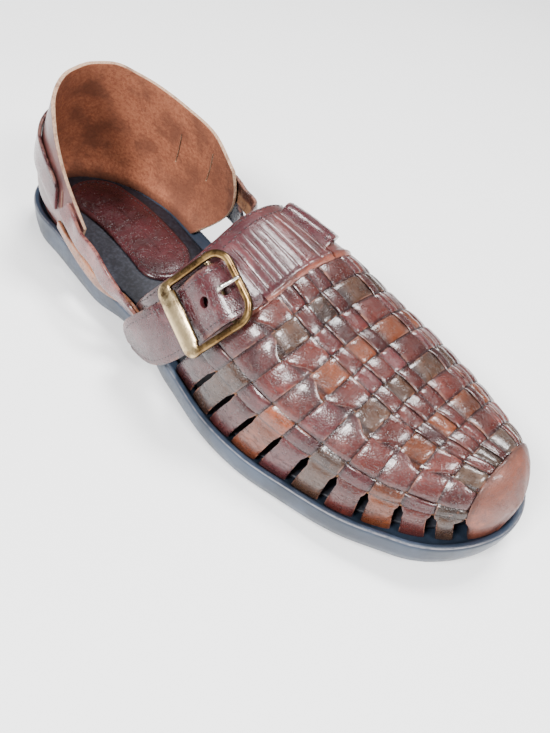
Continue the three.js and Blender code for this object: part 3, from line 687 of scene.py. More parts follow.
# The middle of the buckle strap: share of its length, place over the bridge, turn, and lift of its underside.
STRAP_PATH = [
    (0.0, -0.515, 0.018, OVER_BRIDGE + 4.7 * STRAP_THICK),
    (0.1, -0.094, 0.075, OVER_BRIDGE + 1.9 * STRAP_THICK),
    (0.2, 0.2188, 0.145, OVER_BRIDGE), (0.315, 0.503, 0.25, 2.2 * STRAP_THICK),
    (0.37, 0.61, 0.305, OVER_BRIDGE), (0.44, 0.66, 0.37, UNDER_BRIDGE), (0.6, 0.5625, 0.52, UNDER_BRIDGE),
    (0.66, 0.5, 0.575, OVER_BRIDGE), (0.76, 0.375, 0.68, OVER_BRIDGE), (0.88, 0.03125, 0.82, OVER_BRIDGE),
    (1.0, -0.4062, 0.93, OVER_BRIDGE),
]
STRAP_REACH = 185.0


def strap_line(share):
    over, turn, lift = (along(STRAP_PATH, column, share) for column in (1, 2, 3))
    return mix(BRIDGE_BACK, BRIDGE_FRONT, over), turn, lift


def on_strap(share, across, lift):
    """A spot of the buckle strap: share of its length, millimetres across, lift over its underside."""
    x, turn, under = strap_line(share)
    ahead, behind = strap_line(min(1.0, share + 0.01)), strap_line(max(0.0, share - 0.01))
    lengthways = (skin(*ahead[:2]) - skin(*behind[:2])).normalized()
    side = lengthways.cross(skin_normal(x, turn)).normalized() * across
    per_x = skin(x + 0.5, turn) - skin(x - 0.5, turn)
    per_turn = (skin(x, turn + 0.005) - skin(x, turn - 0.005)) * 100
    xx, xt, tt = per_x.dot(per_x), per_x.dot(per_turn), per_turn.dot(per_turn)
    sx, st = side.dot(per_x), side.dot(per_turn)
    det = xx * tt - xt * xt
    return on_skin(x + (sx * tt - st * xt) / det, turn + (st * xx - sx * xt) / det, under + lift)


def bridge_lift(row, turn):
    x = row_line(row, turn)
    height = mix(BRIDGE_RAISE, RIDGE_RAISE + 0.35, ease((row - 0.9) / 0.07))
    height += 0.25 * ripple(x * 0.12, turn * 22, 3.3)
    if row > 0.9:
        height += 0.35 * ripple(x * 0.5, turn * 150, 8.1)
    inside = ease((x - SLIT_X[0]) / 2) * ease((SLIT_X[1] - x) / 2)
    for slit in SLITS:
        height -= SLIT_DEEP * inside * max(0.0, 1 - abs(turn - slit) / SLIT_HALF)
    if min(turn, 1 - turn) > 0.1:
        height -= 0.7 * ease((row - 0.965) / 0.035)
    return height - 0.35 * (1 - ease(row / 0.02))


def bridge_point(row, turn, lift):
    front = mix(row_line(1, turn) + 1.2, row_line(BRIDGE_TAB, turn) - 6.4, on_tab(turn))
    back = row_line(0, turn)
    x = back + (front - back) * row
    flat_row = (x - back) / (row_line(1, turn) - back)
    return on_skin(x, turn, bridge_lift(min(1.0, flat_row), turn) + lift)


def bridge_marks(row, turn):
    x = row_line(row, turn)
    from_slit = min(abs(turn - slit) for slit in SLITS) if SLIT_X[0] < x < SLIT_X[1] else 1
    front = min(1.0, (1 - row) * 6)
    back = min(1.0, row * 14)
    return (min(front, back), min(1.0, from_slit / 0.0022), 0.4)


def bridge_tint(row, turn):
    """Plum at the buckle, browner on the inner side, and tan where the ridge is frayed."""
    brown = ease((turn - 0.42) / 0.3)
    frayed = ease((row - 0.92) / 0.05)
    tone = [mix(plum, worn, brown) for plum, worn in zip(BRIDGE_TONE, (0.1, 0.029, 0.019))]
    return tuple(mix(channel, tan, frayed) for channel, tan in zip(tone, (0.18, 0.05, 0.03)))


slit_lines = [slit + step for slit in SLITS for step in (-0.0026, -0.0013, 0, 0.0013, 0.0026)]
plain_lines = [k / 110 for k in range(111) if min(abs(k / 110 - line) for line in slit_lines) > 0.003]
slot_lines = [edge for pair in SLOTS for edge in pair]
clear_lines = [t for t in plain_lines[1:] if min(abs(t - edge) for edge in slot_lines) > 0.002]
bridge_turns = sorted([0.0] + clear_lines + slit_lines + slot_lines)
bridge_rows = [0, 0.01, 0.025, 0.05] + [0.05 * k for k in range(2, 18)]
bridge_rows += [0.87, 0.89, 0.905, 0.92, 0.935, 0.95, 0.965, 0.98, 0.99, 1.0]
bridge = bmesh.new()
spots = patch(
    bridge, bridge_rows, bridge_turns, bridge_point, marks=bridge_marks, tint=bridge_tint,
    grain=lambda row, turn: (0.03 * row, 0.19 * turn),
)


def in_slot(row, turn):
    return SLOT_ROWS[0] < row < SLOT_ROWS[1] and any(low < turn < high for low, high in SLOTS)


bmesh.ops.delete(bridge, geom=faces_where(bridge, spots, in_slot), context="FACES")
bridge_leather = leather("bridge leather", gloss=0.36, wear=0.8)
piece("instep_bridge", bridge, bridge_leather, thick=1.5, edge=0.4, slot="woven")


def stitch_row(bm, line, half_length=1.0, radius=0.24, every=2.7):
    """Thread lying on a face along a line of (point, outward) pairs, one stitch at a time."""
    sink = 0.06
    size = Matrix.Diagonal((half_length / 1000, radius / 1000, radius * 0.8 / 1000, 1))
    run, target = 0.0, every / 2
    for (spot, outward), (after, _) in zip(line, line[1:]):
        step = after - spot
        length = step.length
        while length and run + length >= target:
            at = spot + step * ((target - run) / length) + outward * (radius * 0.55 - sink)
            lengthways = step.normalized()
            side = outward.cross(lengthways).normalized()
            turn = Matrix((lengthways, side, lengthways.cross(side))).transposed().to_4x4()
            placed = Matrix.Translation(metres(at)) @ turn @ size
            bmesh.ops.create_icosphere(bm, subdivisions=1, radius=1.0, matrix=placed)
            target += every
        run += length


def on_bridge(row, turn):
    spot = bridge_point(row, turn, 0)
    return spot, skin_normal(spot.x, turn)


thread = Finish("black waxed thread", Coat_Weight=0.2)
fuzz = thread.noise(2500, 3)
black = thread.blend((0.006, 0.005, 0.006), (0.03, 0.025, 0.027), fuzz)
thread_skin = thread.finish(black, fuzz * 0.2 + 0.4, fuzz, 0.0001, 0.5)
hem = bmesh.new()
for row in (0.045, 0.17):
    stitch_row(hem, [on_bridge(row, mix(0.03, 0.97, share)) for share in shares(200)])
piece("bridge_stitches", hem, thread_skin, slot="woven")

# Toe cap: a moulded piece of softer tan hide over the tip, tucked into the lip, its back edge over the last
# strips. Its rows run on past the tip row, where they close it.
TIP_ROW = CAP_ROW + 1
CAP_START = CAP_ROW - 0.02
CAP_SHARES = (-0.02, 0, 0.03, 0.08, 0.16, 0.26, 0.36, 0.46, 0.56, 0.66, 0.75, 0.82, 0.88, 0.93, 0.97, 1)
CLOSED = [12.2, 12.5, 12.8, 12.98]
CAP_ROUND = 0.9


def cap_lift(row, turn):
    x = row_line(min(row, TIP_ROW), turn)
    swell = 0.3 * ripple(x * 0.1, turn * 14, 1.7) + 0.12 * ripple(x * 0.35, turn * 45, 4.1)
    return STRIP_RAISE + swell - 0.4 * (1 - ease((row - CAP_START) / 0.04))


def cap_point(row, turn, lift):
    edge = min(turn, 1 - turn)
    tab = 1 - ease((edge - 0.075) / 0.03)
    line = row + 0.13 * tab * max(0.0, 1 - (row - CAP_ROW) / 0.9) if row < TIP_ROW else row
    if line <= TIP_ROW:
        x = row_line(line, turn)
        return on_skin(x, turn, cap_lift(line, turn) + lift)
    ring = on_skin(UPPER_TIP, turn, cap_lift(TIP_ROW, turn) + lift)
    middle = (on_skin(UPPER_TIP, 0.5, 0) + skin(UPPER_TIP, 0) * 0.5 + skin(UPPER_TIP, 1) * 0.5) * 0.5
    away = line - TIP_ROW
    closed = ring.lerp(middle + Vector((CAP_ROUND + lift, 0, 0)), away * away * (3 - 2 * away))
    return closed + Vector((CAP_ROUND * math.sin(away * math.pi / 2), 0, 0))


def cap_tint(row, turn):
    darker = mix(0.5, 1.0, ease((row - CAP_ROW) / 0.22))
    return tuple(channel * darker for channel in (0.14, 0.042, 0.025))


cap = bmesh.new()
patch(
    cap, [CAP_ROW + share for share in CAP_SHARES] + CLOSED, shares(72), cap_point, tint=cap_tint,
    marks=lambda row, turn: (min(1.0, (row - CAP_START) * 4), 1.0, 0.5),
    grain=lambda row, turn: (0.03 * row, 0.08 * turn),
)
cap_hide = leather("toe cap hide", gloss=0.5, wear=0.9, coat=0.12)
piece("toe_cap", cap, cap_hide, thick=1.5, edge=0.35, replaces=["upper_vamp"], slot="woven")

# Heel counter: one stiff piece of hide, smooth outside and suede inside, moulded round the heel and glued in
# the lip. Its cut rim is left raw, and two upright slits in each wing take the side straps.
COUNTER_HEIGHT = 84.0
COUNTER_WALL = 1.8
COUNTER_FRONT = 97.0
RIM_HALF = 34.0
FOOT_FRONT = {-1: 70.0, 1: 80.0}
HEEL_BULGE = 4.5
INNER_SWEEP = 9.0
OVER_LIP = 0.085
# The counter's top edge on its outer and inner side, as shares of its front, half width and height.
RIMS = {
    -1: [
        (0, 0.235, 0.0, 1.0), (0.15, 0.255, 0.26, 0.99), (0.3, 0.29, 0.46, 0.965), (0.45, 0.345, 0.64, 0.93),
        (0.6, 0.41, 0.77, 0.87), (0.75, 0.48, 0.86, 0.75), (0.88, 0.58, 0.92, 0.6), (1, 0.74, 0.97, 0.42),
    ],
    1: [
        (0, 0.235, 0.0, 1.0), (0.12, 0.25, 0.17, 1.01), (0.25, 0.305, 0.46, 1.01), (0.4, 0.37, 0.7, 0.965),
        (0.55, 0.47, 0.87, 0.925), (0.7, 0.62, 1.0, 0.875), (0.85, 0.82, 1.05, 0.82), (1, 1.0, 0.99, 0.7),
    ],
}
COUNTER_SLITS = [(0.86, 0.5, 0.82), (0.7, 0.44, 0.74)]
COUNTER_SLIT_HALF = 0.0025


def counter_point(t, v):
    """The counter's outside: t from -1 at the outer wing to 1 at the inner wing, v its height's share."""
    q, side = abs(t), -1 if t < 0 else 1
    half = outer_half if side < 0 else inner_half
    foot_x = mix(BESIDE_LIP, FOOT_FRONT[side], q ** 1.7)
    foot_y = side * (half(foot_x) - BESIDE_LIP) * end_round(foot_x, BESIDE_LIP, SOLE_LENGTH)
    foot = Vector((foot_x, foot_y, footbed(foot_x) + 2.8 * CLEARANCE))
    sweep = 0 if side < 0 else INNER_SWEEP * q ** 4 * math.sin(math.pi * v)
    reach, width, high = (along(RIMS[side], column, q) for column in (1, 2, 3))
    top = Vector((COUNTER_FRONT * reach, side * RIM_HALF * width, COUNTER_HEIGHT * high))
    spot = foot.lerp(top, v)
    away = Vector((0, side, 0))
    if spot.x <= HEEL_ROUND:
        away = Vector((spot.x - HEEL_ROUND, spot.y * 1.2, 0)).normalized()
    belly = HEEL_BULGE * math.sin(math.pi * clamp((v - OVER_LIP) / (1 - OVER_LIP)) ** 0.6)
    return spot + away * belly + Vector((sweep, 0, 0))


def on_counter(t, v, lift):
    step = 0.01
    around_heel = counter_point(min(1, t + step), v) - counter_point(max(-1, t - step), v)
    upwards = counter_point(t, min(1, v + step)) - counter_point(t, max(0, v - step))
    return counter_point(t, v) + upwards.cross(around_heel).normalized() * lift


def counter_place(t, v, lift):
    soft = 0.35 * ripple(t * 5, v * 4, 0.7)
    return on_counter(t, v, soft * math.sin(math.pi * v) + lift)


slit_steps = (-COUNTER_SLIT_HALF, COUNTER_SLIT_HALF)
slit_edges = [side * t + step for t, _, _ in COUNTER_SLITS for side in (-1, 1) for step in slit_steps]
whole_lines = [t / 60 for t in range(-60, 61) if min(abs(t / 60 - edge) for edge in slit_edges) > 0.005]
counter_heights = [
    0, 0.03, 0.06, 0.085, 0.12, 0.16, 0.2, 0.25, 0.3, 0.36, 0.4, 0.44, 0.5, 0.56, 0.62, 0.68, 0.74, 0.78,
    0.82, 0.87, 0.92, 0.96, 0.985, 1,
]
counter = bmesh.new()
spots = patch(
    counter, sorted(whole_lines + slit_edges), counter_heights, counter_place,
    marks=lambda t, v: (min(1.0, 9 * (1 - v), 14 * (1 - abs(t))), min(1.0, v * 9), clamp(t)),
    tint=lambda t, v: (0.1, 0.032, 0.028),
    grain=lambda t, v: (0.13 * t, 0.07 * v),
)


def in_counter_slit(t, v):
    return any(abs(abs(t) - at) < COUNTER_SLIT_HALF and low < v < high for at, low, high in COUNTER_SLITS)


bmesh.ops.delete(counter, geom=faces_where(counter, spots, in_counter_slit), context="FACES")

outside_leather = leather("counter outside", gloss=0.38, wear=0.35, dark=0.2, coat=0.25)

inside = Finish("counter suede", IOR=1.4)
edge, low_down, wing = inside.marks()
nap = inside.noise(650, 7, 0.75)
cloud = inside.noise(55, 4)
brushed = inside.noise(160, 4, 0.6, vector=inside.grain((0.6, 2.0, 1)))
warm = inside.blend((0.2, 0.06, 0.03), (0.37, 0.132, 0.066), nap.within(0.32, 0.68))
warm = inside.blend(warm, (0.12, 0.04, 0.022), (1 - cloud.within(0.36, 0.58)) * 0.75)
# Painted shade: the suede darkens towards its foot, in the corner with the insole.
warm = inside.blend(warm, (0.08, 0.028, 0.018), (1 - low_down.within(0.2, 0.9)) * 0.5)
warm = inside.blend(warm, (0.04, 0.016, 0.012), wing.within(0.8, 0.97) * cloud.within(0.4, 0.6) * 0.7)
inside_suede = inside.finish(warm, nap * 0.15 + 0.75, nap + brushed * 0.8, 0.0005, 0.8)

raw = Finish("raw cut edge", IOR=1.4)
fibre = raw.noise(1400, 6, 0.75)
layer = raw.noise(260, 3)
cut = raw.blend((0.24, 0.13, 0.075), (0.52, 0.35, 0.24), fibre.within(0.3, 0.7))
cut = raw.blend(cut, (0.13, 0.06, 0.04), layer.within(0.5, 0.65) * 0.6)
raw_edge = raw.finish(cut, fibre * 0.1 + 0.8, fibre, 0.0004, 0.9)

piece(
    "heel_counter_hide", counter, outside_leather, inside_suede, raw_edge,
    thick=COUNTER_WALL, edge=0.45, replaces=["heel_counter"], slot="counter",
)

# Sling strap: a flat strap of the plum hide round the outside of the counter, over the side straps' ends.
SLING_WIDTH = 15.0
BRANCH_WIDTH = 10.0
BRANCH_THICK = 1.6
SLING_PATH = [(0, 0.56), (0.5, 0.58), (0.9, 0.66)]
SLING_END = 0.84


def sling_place(t, across, lift):
    v = along(SLING_PATH, 1, abs(t))
    tall = counter_point(t, 1).z - counter_point(t, 0).z
    round_end = clamp((SLING_END + 0.004 - abs(t)) / 0.06)
    half = SLING_WIDTH / 2 * mix(0.55, 1.0, math.sqrt(round_end * (2 - round_end)))
    proud = 2 * CLEARANCE + BRANCH_THICK + 0.5 * clamp(across) ** 3
    return on_counter(t, v + across * half / tall, proud - 0.3 * abs(across) ** 6 + lift)


def strap_marks(share, across):
    return (1 - abs(across), 1.0, 0.3 + 0.1 * math.sin(share * 7))


sling = bmesh.new()
patch(
    sling, [mix(-SLING_END, SLING_END, share) for share in shares(90)], spread(8), sling_place,
    marks=strap_marks, tint=lambda t, across: (0.07, 0.02, 0.022),
    grain=lambda t, across: (0.13 * t, 0.0075 * across),
)
strap_leather = leather("strap leather", gloss=0.3, wear=0.7, dark=0.5, coat=0.4)
piece(
    "sling_strap", sling, strap_leather,
    thick=BRANCH_THICK, edge=0.3, replaces=["heel_strap"], slot="strap",
)

# Side straps: four narrow straps from the counter over the open waist. The outer two end in layers on the
# bridge, under the tip of the buckle strap, and the inner two end inside the bridge, as layer -1. The free
# points between are shares along the sole, of its half width and of the upper's height.
SIDE_STRAPS = [
    {
        "name": "side_strap_outer_upper", "wide": 0.95, "start": (-0.9, 0.76), "into": (0.4291, 0.036),
        "free": [(0.2602, 1.09, 0.23), (0.3065, 1.094, 0.221), (0.3505, 1.15, 0.19)], "layer": 2,
        "tint": (0.12, 0.035, 0.035),
    },
    {
        "name": "side_strap_outer_lower", "wide": 0.6, "start": (-0.86, 0.38), "into": (0.4187, 0.034),
        "free": [(0.2734, 1.074, 0.083), (0.3189, 1.06, 0.06), (0.36, 0.998, 0.067)], "layer": 1,
        "tint": (0.3, 0.12, 0.055),
    },
    {
        "name": "side_strap_inner_upper", "wide": 1.3, "start": (0.88, 0.69), "into": (0.4602, 0.837),
        "free": [(0.33, 1.27, 0.405), (0.36, 1.25, 0.395), (0.3945, 1.21, 0.389)], "layer": -1,
        "tint": (0.06, 0.024, 0.017), "low_tint": (0.22, 0.11, 0.06),
    },
    {
        "name": "side_strap_inner_lower", "wide": 1.4, "start": (0.84, 0.35), "into": (0.4325, 0.914),
        "free": [(0.31, 1.26, 0.235), (0.3425, 1.27, 0.24), (0.375, 1.165, 0.232)], "layer": -1,
        "tint": (0.022, 0.028, 0.04),
    },
]


def curve_through(points, t):
    """A centripetal curve through points, t from 0 at the first to 1 at the last."""
    place = t * (len(points) - 1)
    k = min(int(place), len(points) - 2)
    weight = place - k
    before = points[k - 1] if k > 0 else points[0] * 2 - points[1]
    after = points[k + 2] if k + 2 < len(points) else points[-1] * 2 - points[-2]
    a, b = points[k], points[k + 1]
    gaps = [max(1e-6, (q - p).length ** 0.5) for p, q in ((before, a), (a, b), (b, after))]
    start = ((a - before) / gaps[0] - (b - before) / (gaps[0] + gaps[1]) + (b - a) / gaps[1]) * gaps[1]
    end = ((b - a) / gaps[1] - (after - a) / (gaps[1] + gaps[2]) + (after - b) / gaps[2]) * gaps[1]
    rise = b - a
    return a + (start + ((rise * 3 - start * 2 - end) + (start + end - rise * 2) * weight) * weight) * weight


def side_strap_line(strap):
    t, v = strap["start"]
    side = -1 if t < 0 else 1
    half = outer_half if side < 0 else inner_half
    lying = 1.7 * CLEARANCE + BRANCH_THICK / 2
    ahead = t + side * 0.045
    outward = Vector((0, side, 0.12))
    points = [(on_counter(at, v, lying), on_counter(at, v, 1) - on_counter(at, v, 0)) for at in (t, ahead)]
    for at, out, high in strap["free"]:
        x = at * SOLE_LENGTH
        z = lip_height(x) + high * (COUNTER_HEIGHT + VAMP_HEIGHT) / 2
        points.append((Vector((x, side * half(x) * out, z)), outward))
    share, turn = strap["into"]
    lift = -WALL - 4 * CLEARANCE - BRANCH_THICK / 2
    if strap["layer"] > 0:
        lift = BRIDGE_RAISE + 2 * CLEARANCE + BRANCH_THICK / 2
        lift += (strap["layer"] - 1) * (BRANCH_THICK + CLEARANCE)
    for x in (share * SOLE_LENGTH - BRANCH_WIDTH * 0.9, share * SOLE_LENGTH):
        points.append((on_skin(x, turn, lift), skin_normal(x, turn)))
    return [p for p, _ in points], [face.normalized() for _, face in points]


for strap in SIDE_STRAPS:
    middle, facing = side_strap_line(strap)

    def branch_place(t, across, lift):
        at = curve_through(middle, t)
        ahead, behind = (curve_through(middle, clamp(t + step)) for step in (0.003, -0.003))
        forward = (ahead - behind).normalized()
        face = curve_through(facing, t)
        face = (face - forward * face.dot(forward)).normalized()
        side = forward.cross(face)
        wave = 0.25 * ripple(t * 9, across, len(strap["name"]))
        high = BRANCH_THICK / 2 - 0.3 * abs(across) ** 6 + wave + lift
        return at + side * across * strap["wide"] * BRANCH_WIDTH / 2 + face * high

    branch = bmesh.new()
    patch(
        branch, shares(70), spread(8), branch_place,
        marks=strap_marks, grain=lambda t, across: (0.07 * t, 0.004 * across),
        tint=lambda t, across: strap["tint"] if across > 0 else strap.get("low_tint", strap["tint"]),
    )
    piece(
        strap["name"] + "_hide", branch, strap_leather,
        thick=BRANCH_THICK, edge=0.3, replaces=[strap["name"]], slot="strap",
    )

# Buckle strap: thick glossy plum hide with a rounded tip, stitched edges and round holes. It runs through the
# buckle, dives under the bridge at the crest and comes out again on the inner side.
strap_shares = [0, 0.0015, 0.004, 0.008, 0.013, 0.019, 0.027, 0.036, 0.046, 0.056, 0.066]
strap_shares += [0.075 + 0.925 * share for share in shares(175)]
STITCH_INSET = 2.6


def strap_half(share):
    from_tip = clamp((share * STRAP_REACH + 0.4) / (STRAP_WIDTH / 2))
    return STRAP_WIDTH / 2 * math.sqrt(from_tip * (2 - from_tip))


def strap_place(share, across, lift):
    half = strap_half(share)
    wave = 0.3 * ripple(share * 26, across * 1.6, 2.2) + 0.12 * ripple(share * 90, across * 5, 5.2)
    from_edge = half * (1 - abs(across))
    pressed = 0.22 * math.exp(-((from_edge - STITCH_INSET) / 0.6) ** 2)
    return on_strap(share, across * half, STRAP_THICK - 0.35 * abs(across) ** 8 - pressed + wave + lift)


HOLE_RADIUS = 2.2
HOLES = [0.285, 0.341]
buckle_strap = bmesh.new()
spots = patch(
    buckle_strap, strap_shares, spread(20), strap_place,
    marks=lambda share, across: (min(1 - abs(across), share * 22), 1.0, 0.5),
    tint=lambda share, across: BRIDGE_TONE,
    grain=lambda share, across: (STRAP_REACH / 1000 * share, 0.0115 * across),
)
for hole in HOLES:

    def in_hole(share, across):
        return math.hypot((share - hole) * STRAP_REACH, across * STRAP_WIDTH / 2) < HOLE_RADIUS - 0.2

    gone = set(faces_where(buckle_strap, spots, in_hole))
    for vert in {vert for face in gone for vert in face.verts if not gone.issuperset(vert.link_faces)}:
        share, across = spots[vert]
        away = Vector(((share - hole) * STRAP_REACH, across * STRAP_WIDTH / 2))
        away = away.normalized() * HOLE_RADIUS
        vert.co = metres(strap_place(hole + away.x / STRAP_REACH, away.y / (STRAP_WIDTH / 2), 0))
    bmesh.ops.delete(buckle_strap, geom=list(gone), context="FACES")
piece(
    "buckle_strap_hide", buckle_strap, strap_leather,
    thick=STRAP_THICK, edge=0.35, replaces=["buckle_strap"], slot="strap",
)


def strap_stitch_line(side, start, end):
    line = []
    for share in shares(120):
        at = mix(start, end, share)
        half = strap_half(at)
        across = side * (half - STITCH_INSET) / half
        spot = strap_place(at, across, 0)
        line.append((spot, strap_place(at, across, 1) - spot))
    return line


seams = bmesh.new()
for side in (-1, 1):
    for start, end in ((0.03, 0.39), (0.64, 0.97)):
        stitch_row(seams, strap_stitch_line(side, start, end), half_length=0.9, every=2.4)
piece("strap_stitches", seams, thread_skin, slot="strap")

# Buckle: a cast brass frame with rounded corners, one wide flat end bar and a hinge bar set low across it.
# The prong of plated wire is wrapped round the hinge bar, and its point lies on the far side.
FRAME_WIDE = 32.3
FRAME_THICK = 2.6
FRAME_BAR = 8.0
FRAME_SIDE = 3.0
FRAME_CORNER = 7.2
HINGE_THICK = 2.2
HINGE_DROP = 2.4
HINGE_SHARE = 0.68
BAR_AT, FAR_AT, HINGE_AT = 0.212, 0.378, 0.32
PRONG_THICK = 2.0

frame_lift = STRAP_THICK + FRAME_THICK / 2 + 7 * CLEARANCE
bar_spot, far_spot = (on_strap(at, 0, frame_lift) for at in (BAR_AT, FAR_AT))
frame_along = (far_spot - bar_spot).normalized()
frame_across = on_strap(HINGE_AT, 1, 0) - on_strap(HINGE_AT, -1, 0)
frame_across = (frame_across - frame_along * frame_across.dot(frame_along)).normalized()
frame_up = frame_across.cross(frame_along).normalized()
if frame_up.dot(skin_normal(*strap_line(HINGE_AT)[:2])) < 0:
    frame_up = -frame_up
frame_middle = (bar_spot + far_spot) / 2
half_along = (far_spot - bar_spot).length / 2
half_across = FRAME_WIDE / 2 - FRAME_SIDE / 2


def in_frame(lengthways, across, up):
    return frame_middle + frame_along * lengthways + frame_across * across + frame_up * up


def frame_line():
    line = []
    wide, tight = FRAME_CORNER, FRAME_CORNER / 2
    corners = [(1, 1, wide), (-1, 1, tight), (-1, -1, tight), (1, -1, wide)]
    for quarter, (ahead, aside, radius) in enumerate(corners):
        for share in shares(12):
            angle = (quarter + share) * math.pi / 2
            u = ahead * (half_along - radius) + radius * math.cos(angle)
            line.append((u, aside * (half_across - radius) + radius * math.sin(angle)))
        if quarter in (0, 2):
            start, end = line[-1], (-line[-1][0], line[-1][1])
            line += [(mix(start[0], end[0], k / 8), start[1]) for k in range(1, 6)]
    return line


outline = frame_line()
SECTION = [
    (-1, -0.25), (-1, 0.25), (-0.86, 0.72), (-0.6, 0.95), (-0.2, 1.04), (0.2, 1.04), (0.6, 0.95),
    (0.86, 0.72), (1, 0.25), (1, -0.25), (0.86, -0.75), (0.4, -1), (-0.4, -1), (-0.86, -0.75),
]
BAR_SIDES = 16


def frame_place(station, corner, lift):
    station %= len(outline)
    corner %= len(SECTION)
    u, w = outline[station]
    after, before = outline[(station + 1) % len(outline)], outline[station - 1]
    length = math.hypot(after[0] - before[0], after[1] - before[1])
    out = ((after[1] - before[1]) / length, -(after[0] - before[0]) / length)
    wide = mix(FRAME_SIDE, FRAME_BAR, ease((-u - half_along + 3.2) / 3.2)) / 2
    side, up = SECTION[corner]
    hammered = 0.12 * ripple(u * 0.4, w * 0.4, side)
    return in_frame(u + out[0] * side * wide, w + out[1] * side * wide, up * FRAME_THICK / 2 + hammered)


def bar_between(bm, points, radii):
    """A round bar along points, closed at both ends."""
    rings = []
    for k, spot in enumerate(points):
        forward = (points[min(len(points) - 1, k + 1)] - points[max(0, k - 1)]).normalized()
        across = forward.cross(Vector((0.3, 0.2, 0.93))).normalized()
        up = forward.cross(across)
        turn = Matrix((across, up, forward)).transposed().to_4x4()
        placed = Matrix.Translation(metres(spot)) @ turn
        ring = bmesh.ops.create_circle(bm, segments=BAR_SIDES, radius=radii[k] / 1000, matrix=placed)["verts"]
        rings.append(list({edge for vert in ring for edge in vert.link_edges}))
    for first, second in zip(rings, rings[1:]):
        bmesh.ops.bridge_loops(bm, edges=first + second)
    for ring in (rings[0], rings[-1]):
        bmesh.ops.holes_fill(bm, edges=ring, sides=BAR_SIDES)


def frame_marks(station, corner):
    u = outline[station % len(outline)][0]
    on_top = 1.0 if 2 <= corner % len(SECTION) <= 7 else 0.0
    return (on_top, clamp((-u - half_along + 3) / 3), 0.0)


buckle = bmesh.new()
patch(buckle, range(len(outline) + 1), range(len(SECTION) + 1), frame_place, marks=frame_marks)
bmesh.ops.remove_doubles(buckle, verts=buckle.verts, dist=1e-6)
hinge_u = mix(-half_along, half_along, HINGE_SHARE)
hinge_bend = half_across - FRAME_SIDE / 2
hinge = [(-half_across, 0), (-hinge_bend, -HINGE_DROP), (hinge_bend, -HINGE_DROP), (half_across, 0)]
bar_between(buckle, [in_frame(hinge_u, across, up) for across, up in hinge], [HINGE_THICK / 2] * 4)
bmesh.ops.recalc_face_normals(buckle, faces=buckle.faces)

brass = Finish("aged brass", Metallic=1.0)
top_side, wide_bar, _ = brass.marks()
patina = brass.noise(130, 6, 0.65)
fine = brass.noise(900, 4)
metal = brass.blend((0.12, 0.066, 0.026), (0.42, 0.27, 0.11), patina.within(0.36, 0.66))
metal = brass.blend(metal, (0.8, 0.62, 0.36), wide_bar * (patina.within(0.3, 0.55)) * 0.8)
# Painted shade: the frame's sides and underside are darker than its top.
metal = brass.blend(metal, (0.06, 0.035, 0.018), (1 - top_side) * 0.75)
brass_skin = brass.finish(metal, fine * 0.18 + patina * 0.2 + 0.12, patina * 0.8 + fine * 0.3, 0.00025, 0.5)
piece("buckle_ring", buckle, brass_skin, replaces=["buckle_frame"], slot="brass")

prong = bmesh.new()
over = HINGE_THICK / 2 + CLEARANCE + PRONG_THICK / 2
rest = FRAME_THICK / 2 + CLEARANCE + PRONG_THICK / 2
# Along the frame, up from it, and the share of the wire's thickness.
prong_spots = [
    (hinge_u - over, -HINGE_DROP, 1), (hinge_u - over * 0.75, over * 0.75 - HINGE_DROP, 1),
    (hinge_u, over + 0.1 - HINGE_DROP, 1), (hinge_u + 3.5, over + 1.6, 1),
    (mix(hinge_u, half_along, 0.6), rest + 0.9, 0.9), (half_along - 1.5, rest + 0.2, 0.75),
    (half_along + FRAME_SIDE / 2 + 0.6, rest, 0.6),
]
prong_line = [Vector(spot) for spot in prong_spots]
smooth_prong = [curve_through(prong_line, share) for share in shares(24)]
radii = [spot.z * PRONG_THICK / 2 for spot in smooth_prong]
bar_between(prong, [in_frame(spot.x, 0, spot.y) for spot in smooth_prong], radii)
bmesh.ops.recalc_face_normals(prong, faces=prong.faces)
plated = Finish("plated wire", Metallic=1.0)
wear = plated.noise(260, 5)
wire = plated.blend((0.34, 0.3, 0.24), (0.82, 0.8, 0.74), wear.within(0.35, 0.6))
plated_skin = plated.finish(wire, wear * 0.2 + 0.15, wear, 0.0001, 0.4)
piece("buckle_prong_wire", prong, plated_skin, edge=0.2, replaces=["buckle_prong"], slot="prong")

# Heel pad: a burgundy leather pad glued on the insole, padded a little, with dark stitching near its edge. It
# is left bare in the middle.
PAD = {"width": 30.0, "back": 16.0, "front": 103.0, "over": 2 * CLEARANCE + INSOLE_THICK}
PAD_LINE = [(0, 0.07), (0.4, 0.153), (0.7, 0.073), (1, -0.08)]
PAD_SEAM = (2.8, 1.66)
PAD_ROWS = [
    (0, 0.05), (0, 0.6), (0.15, 1.1), (0.6, 1.55), (1.4, 1.8), (2.2, 1.72), PAD_SEAM, (3.4, 1.74), (5, 1.92),
    (8, 2.0), (12, 2.0), (14.9, 2.0),
]
pad_stations = [(k, -1) for k in shares(44)] + [(k, 1) for k in reversed(shares(44))]


def pad_edge(share, side, inset):
    half = PAD["width"] / 2
    back, front = PAD["back"] + inset, PAD["front"] - inset
    x = mix(back, front, (1 - math.cos(math.pi * share)) / 2)
    end = clamp(min(x - back, front - x) / half)
    middle = PAD["width"] * along(PAD_LINE, 1, (x - PAD["back"]) / (PAD["front"] - PAD["back"]))
    return x, middle + side * (half - inset) * math.sqrt(end * (2 - end))


def pad_place(station, row, lift):
    share, side = pad_stations[station]
    inset, rise = PAD_ROWS[row]
    x, y = pad_edge(share, side, inset)
    crease = 0.18 * ripple(x * 0.07, y * 0.12, 6.0) * ease(inset / 4)
    return Vector((x, y, footbed(x) + PAD["over"] + rise + crease + lift))


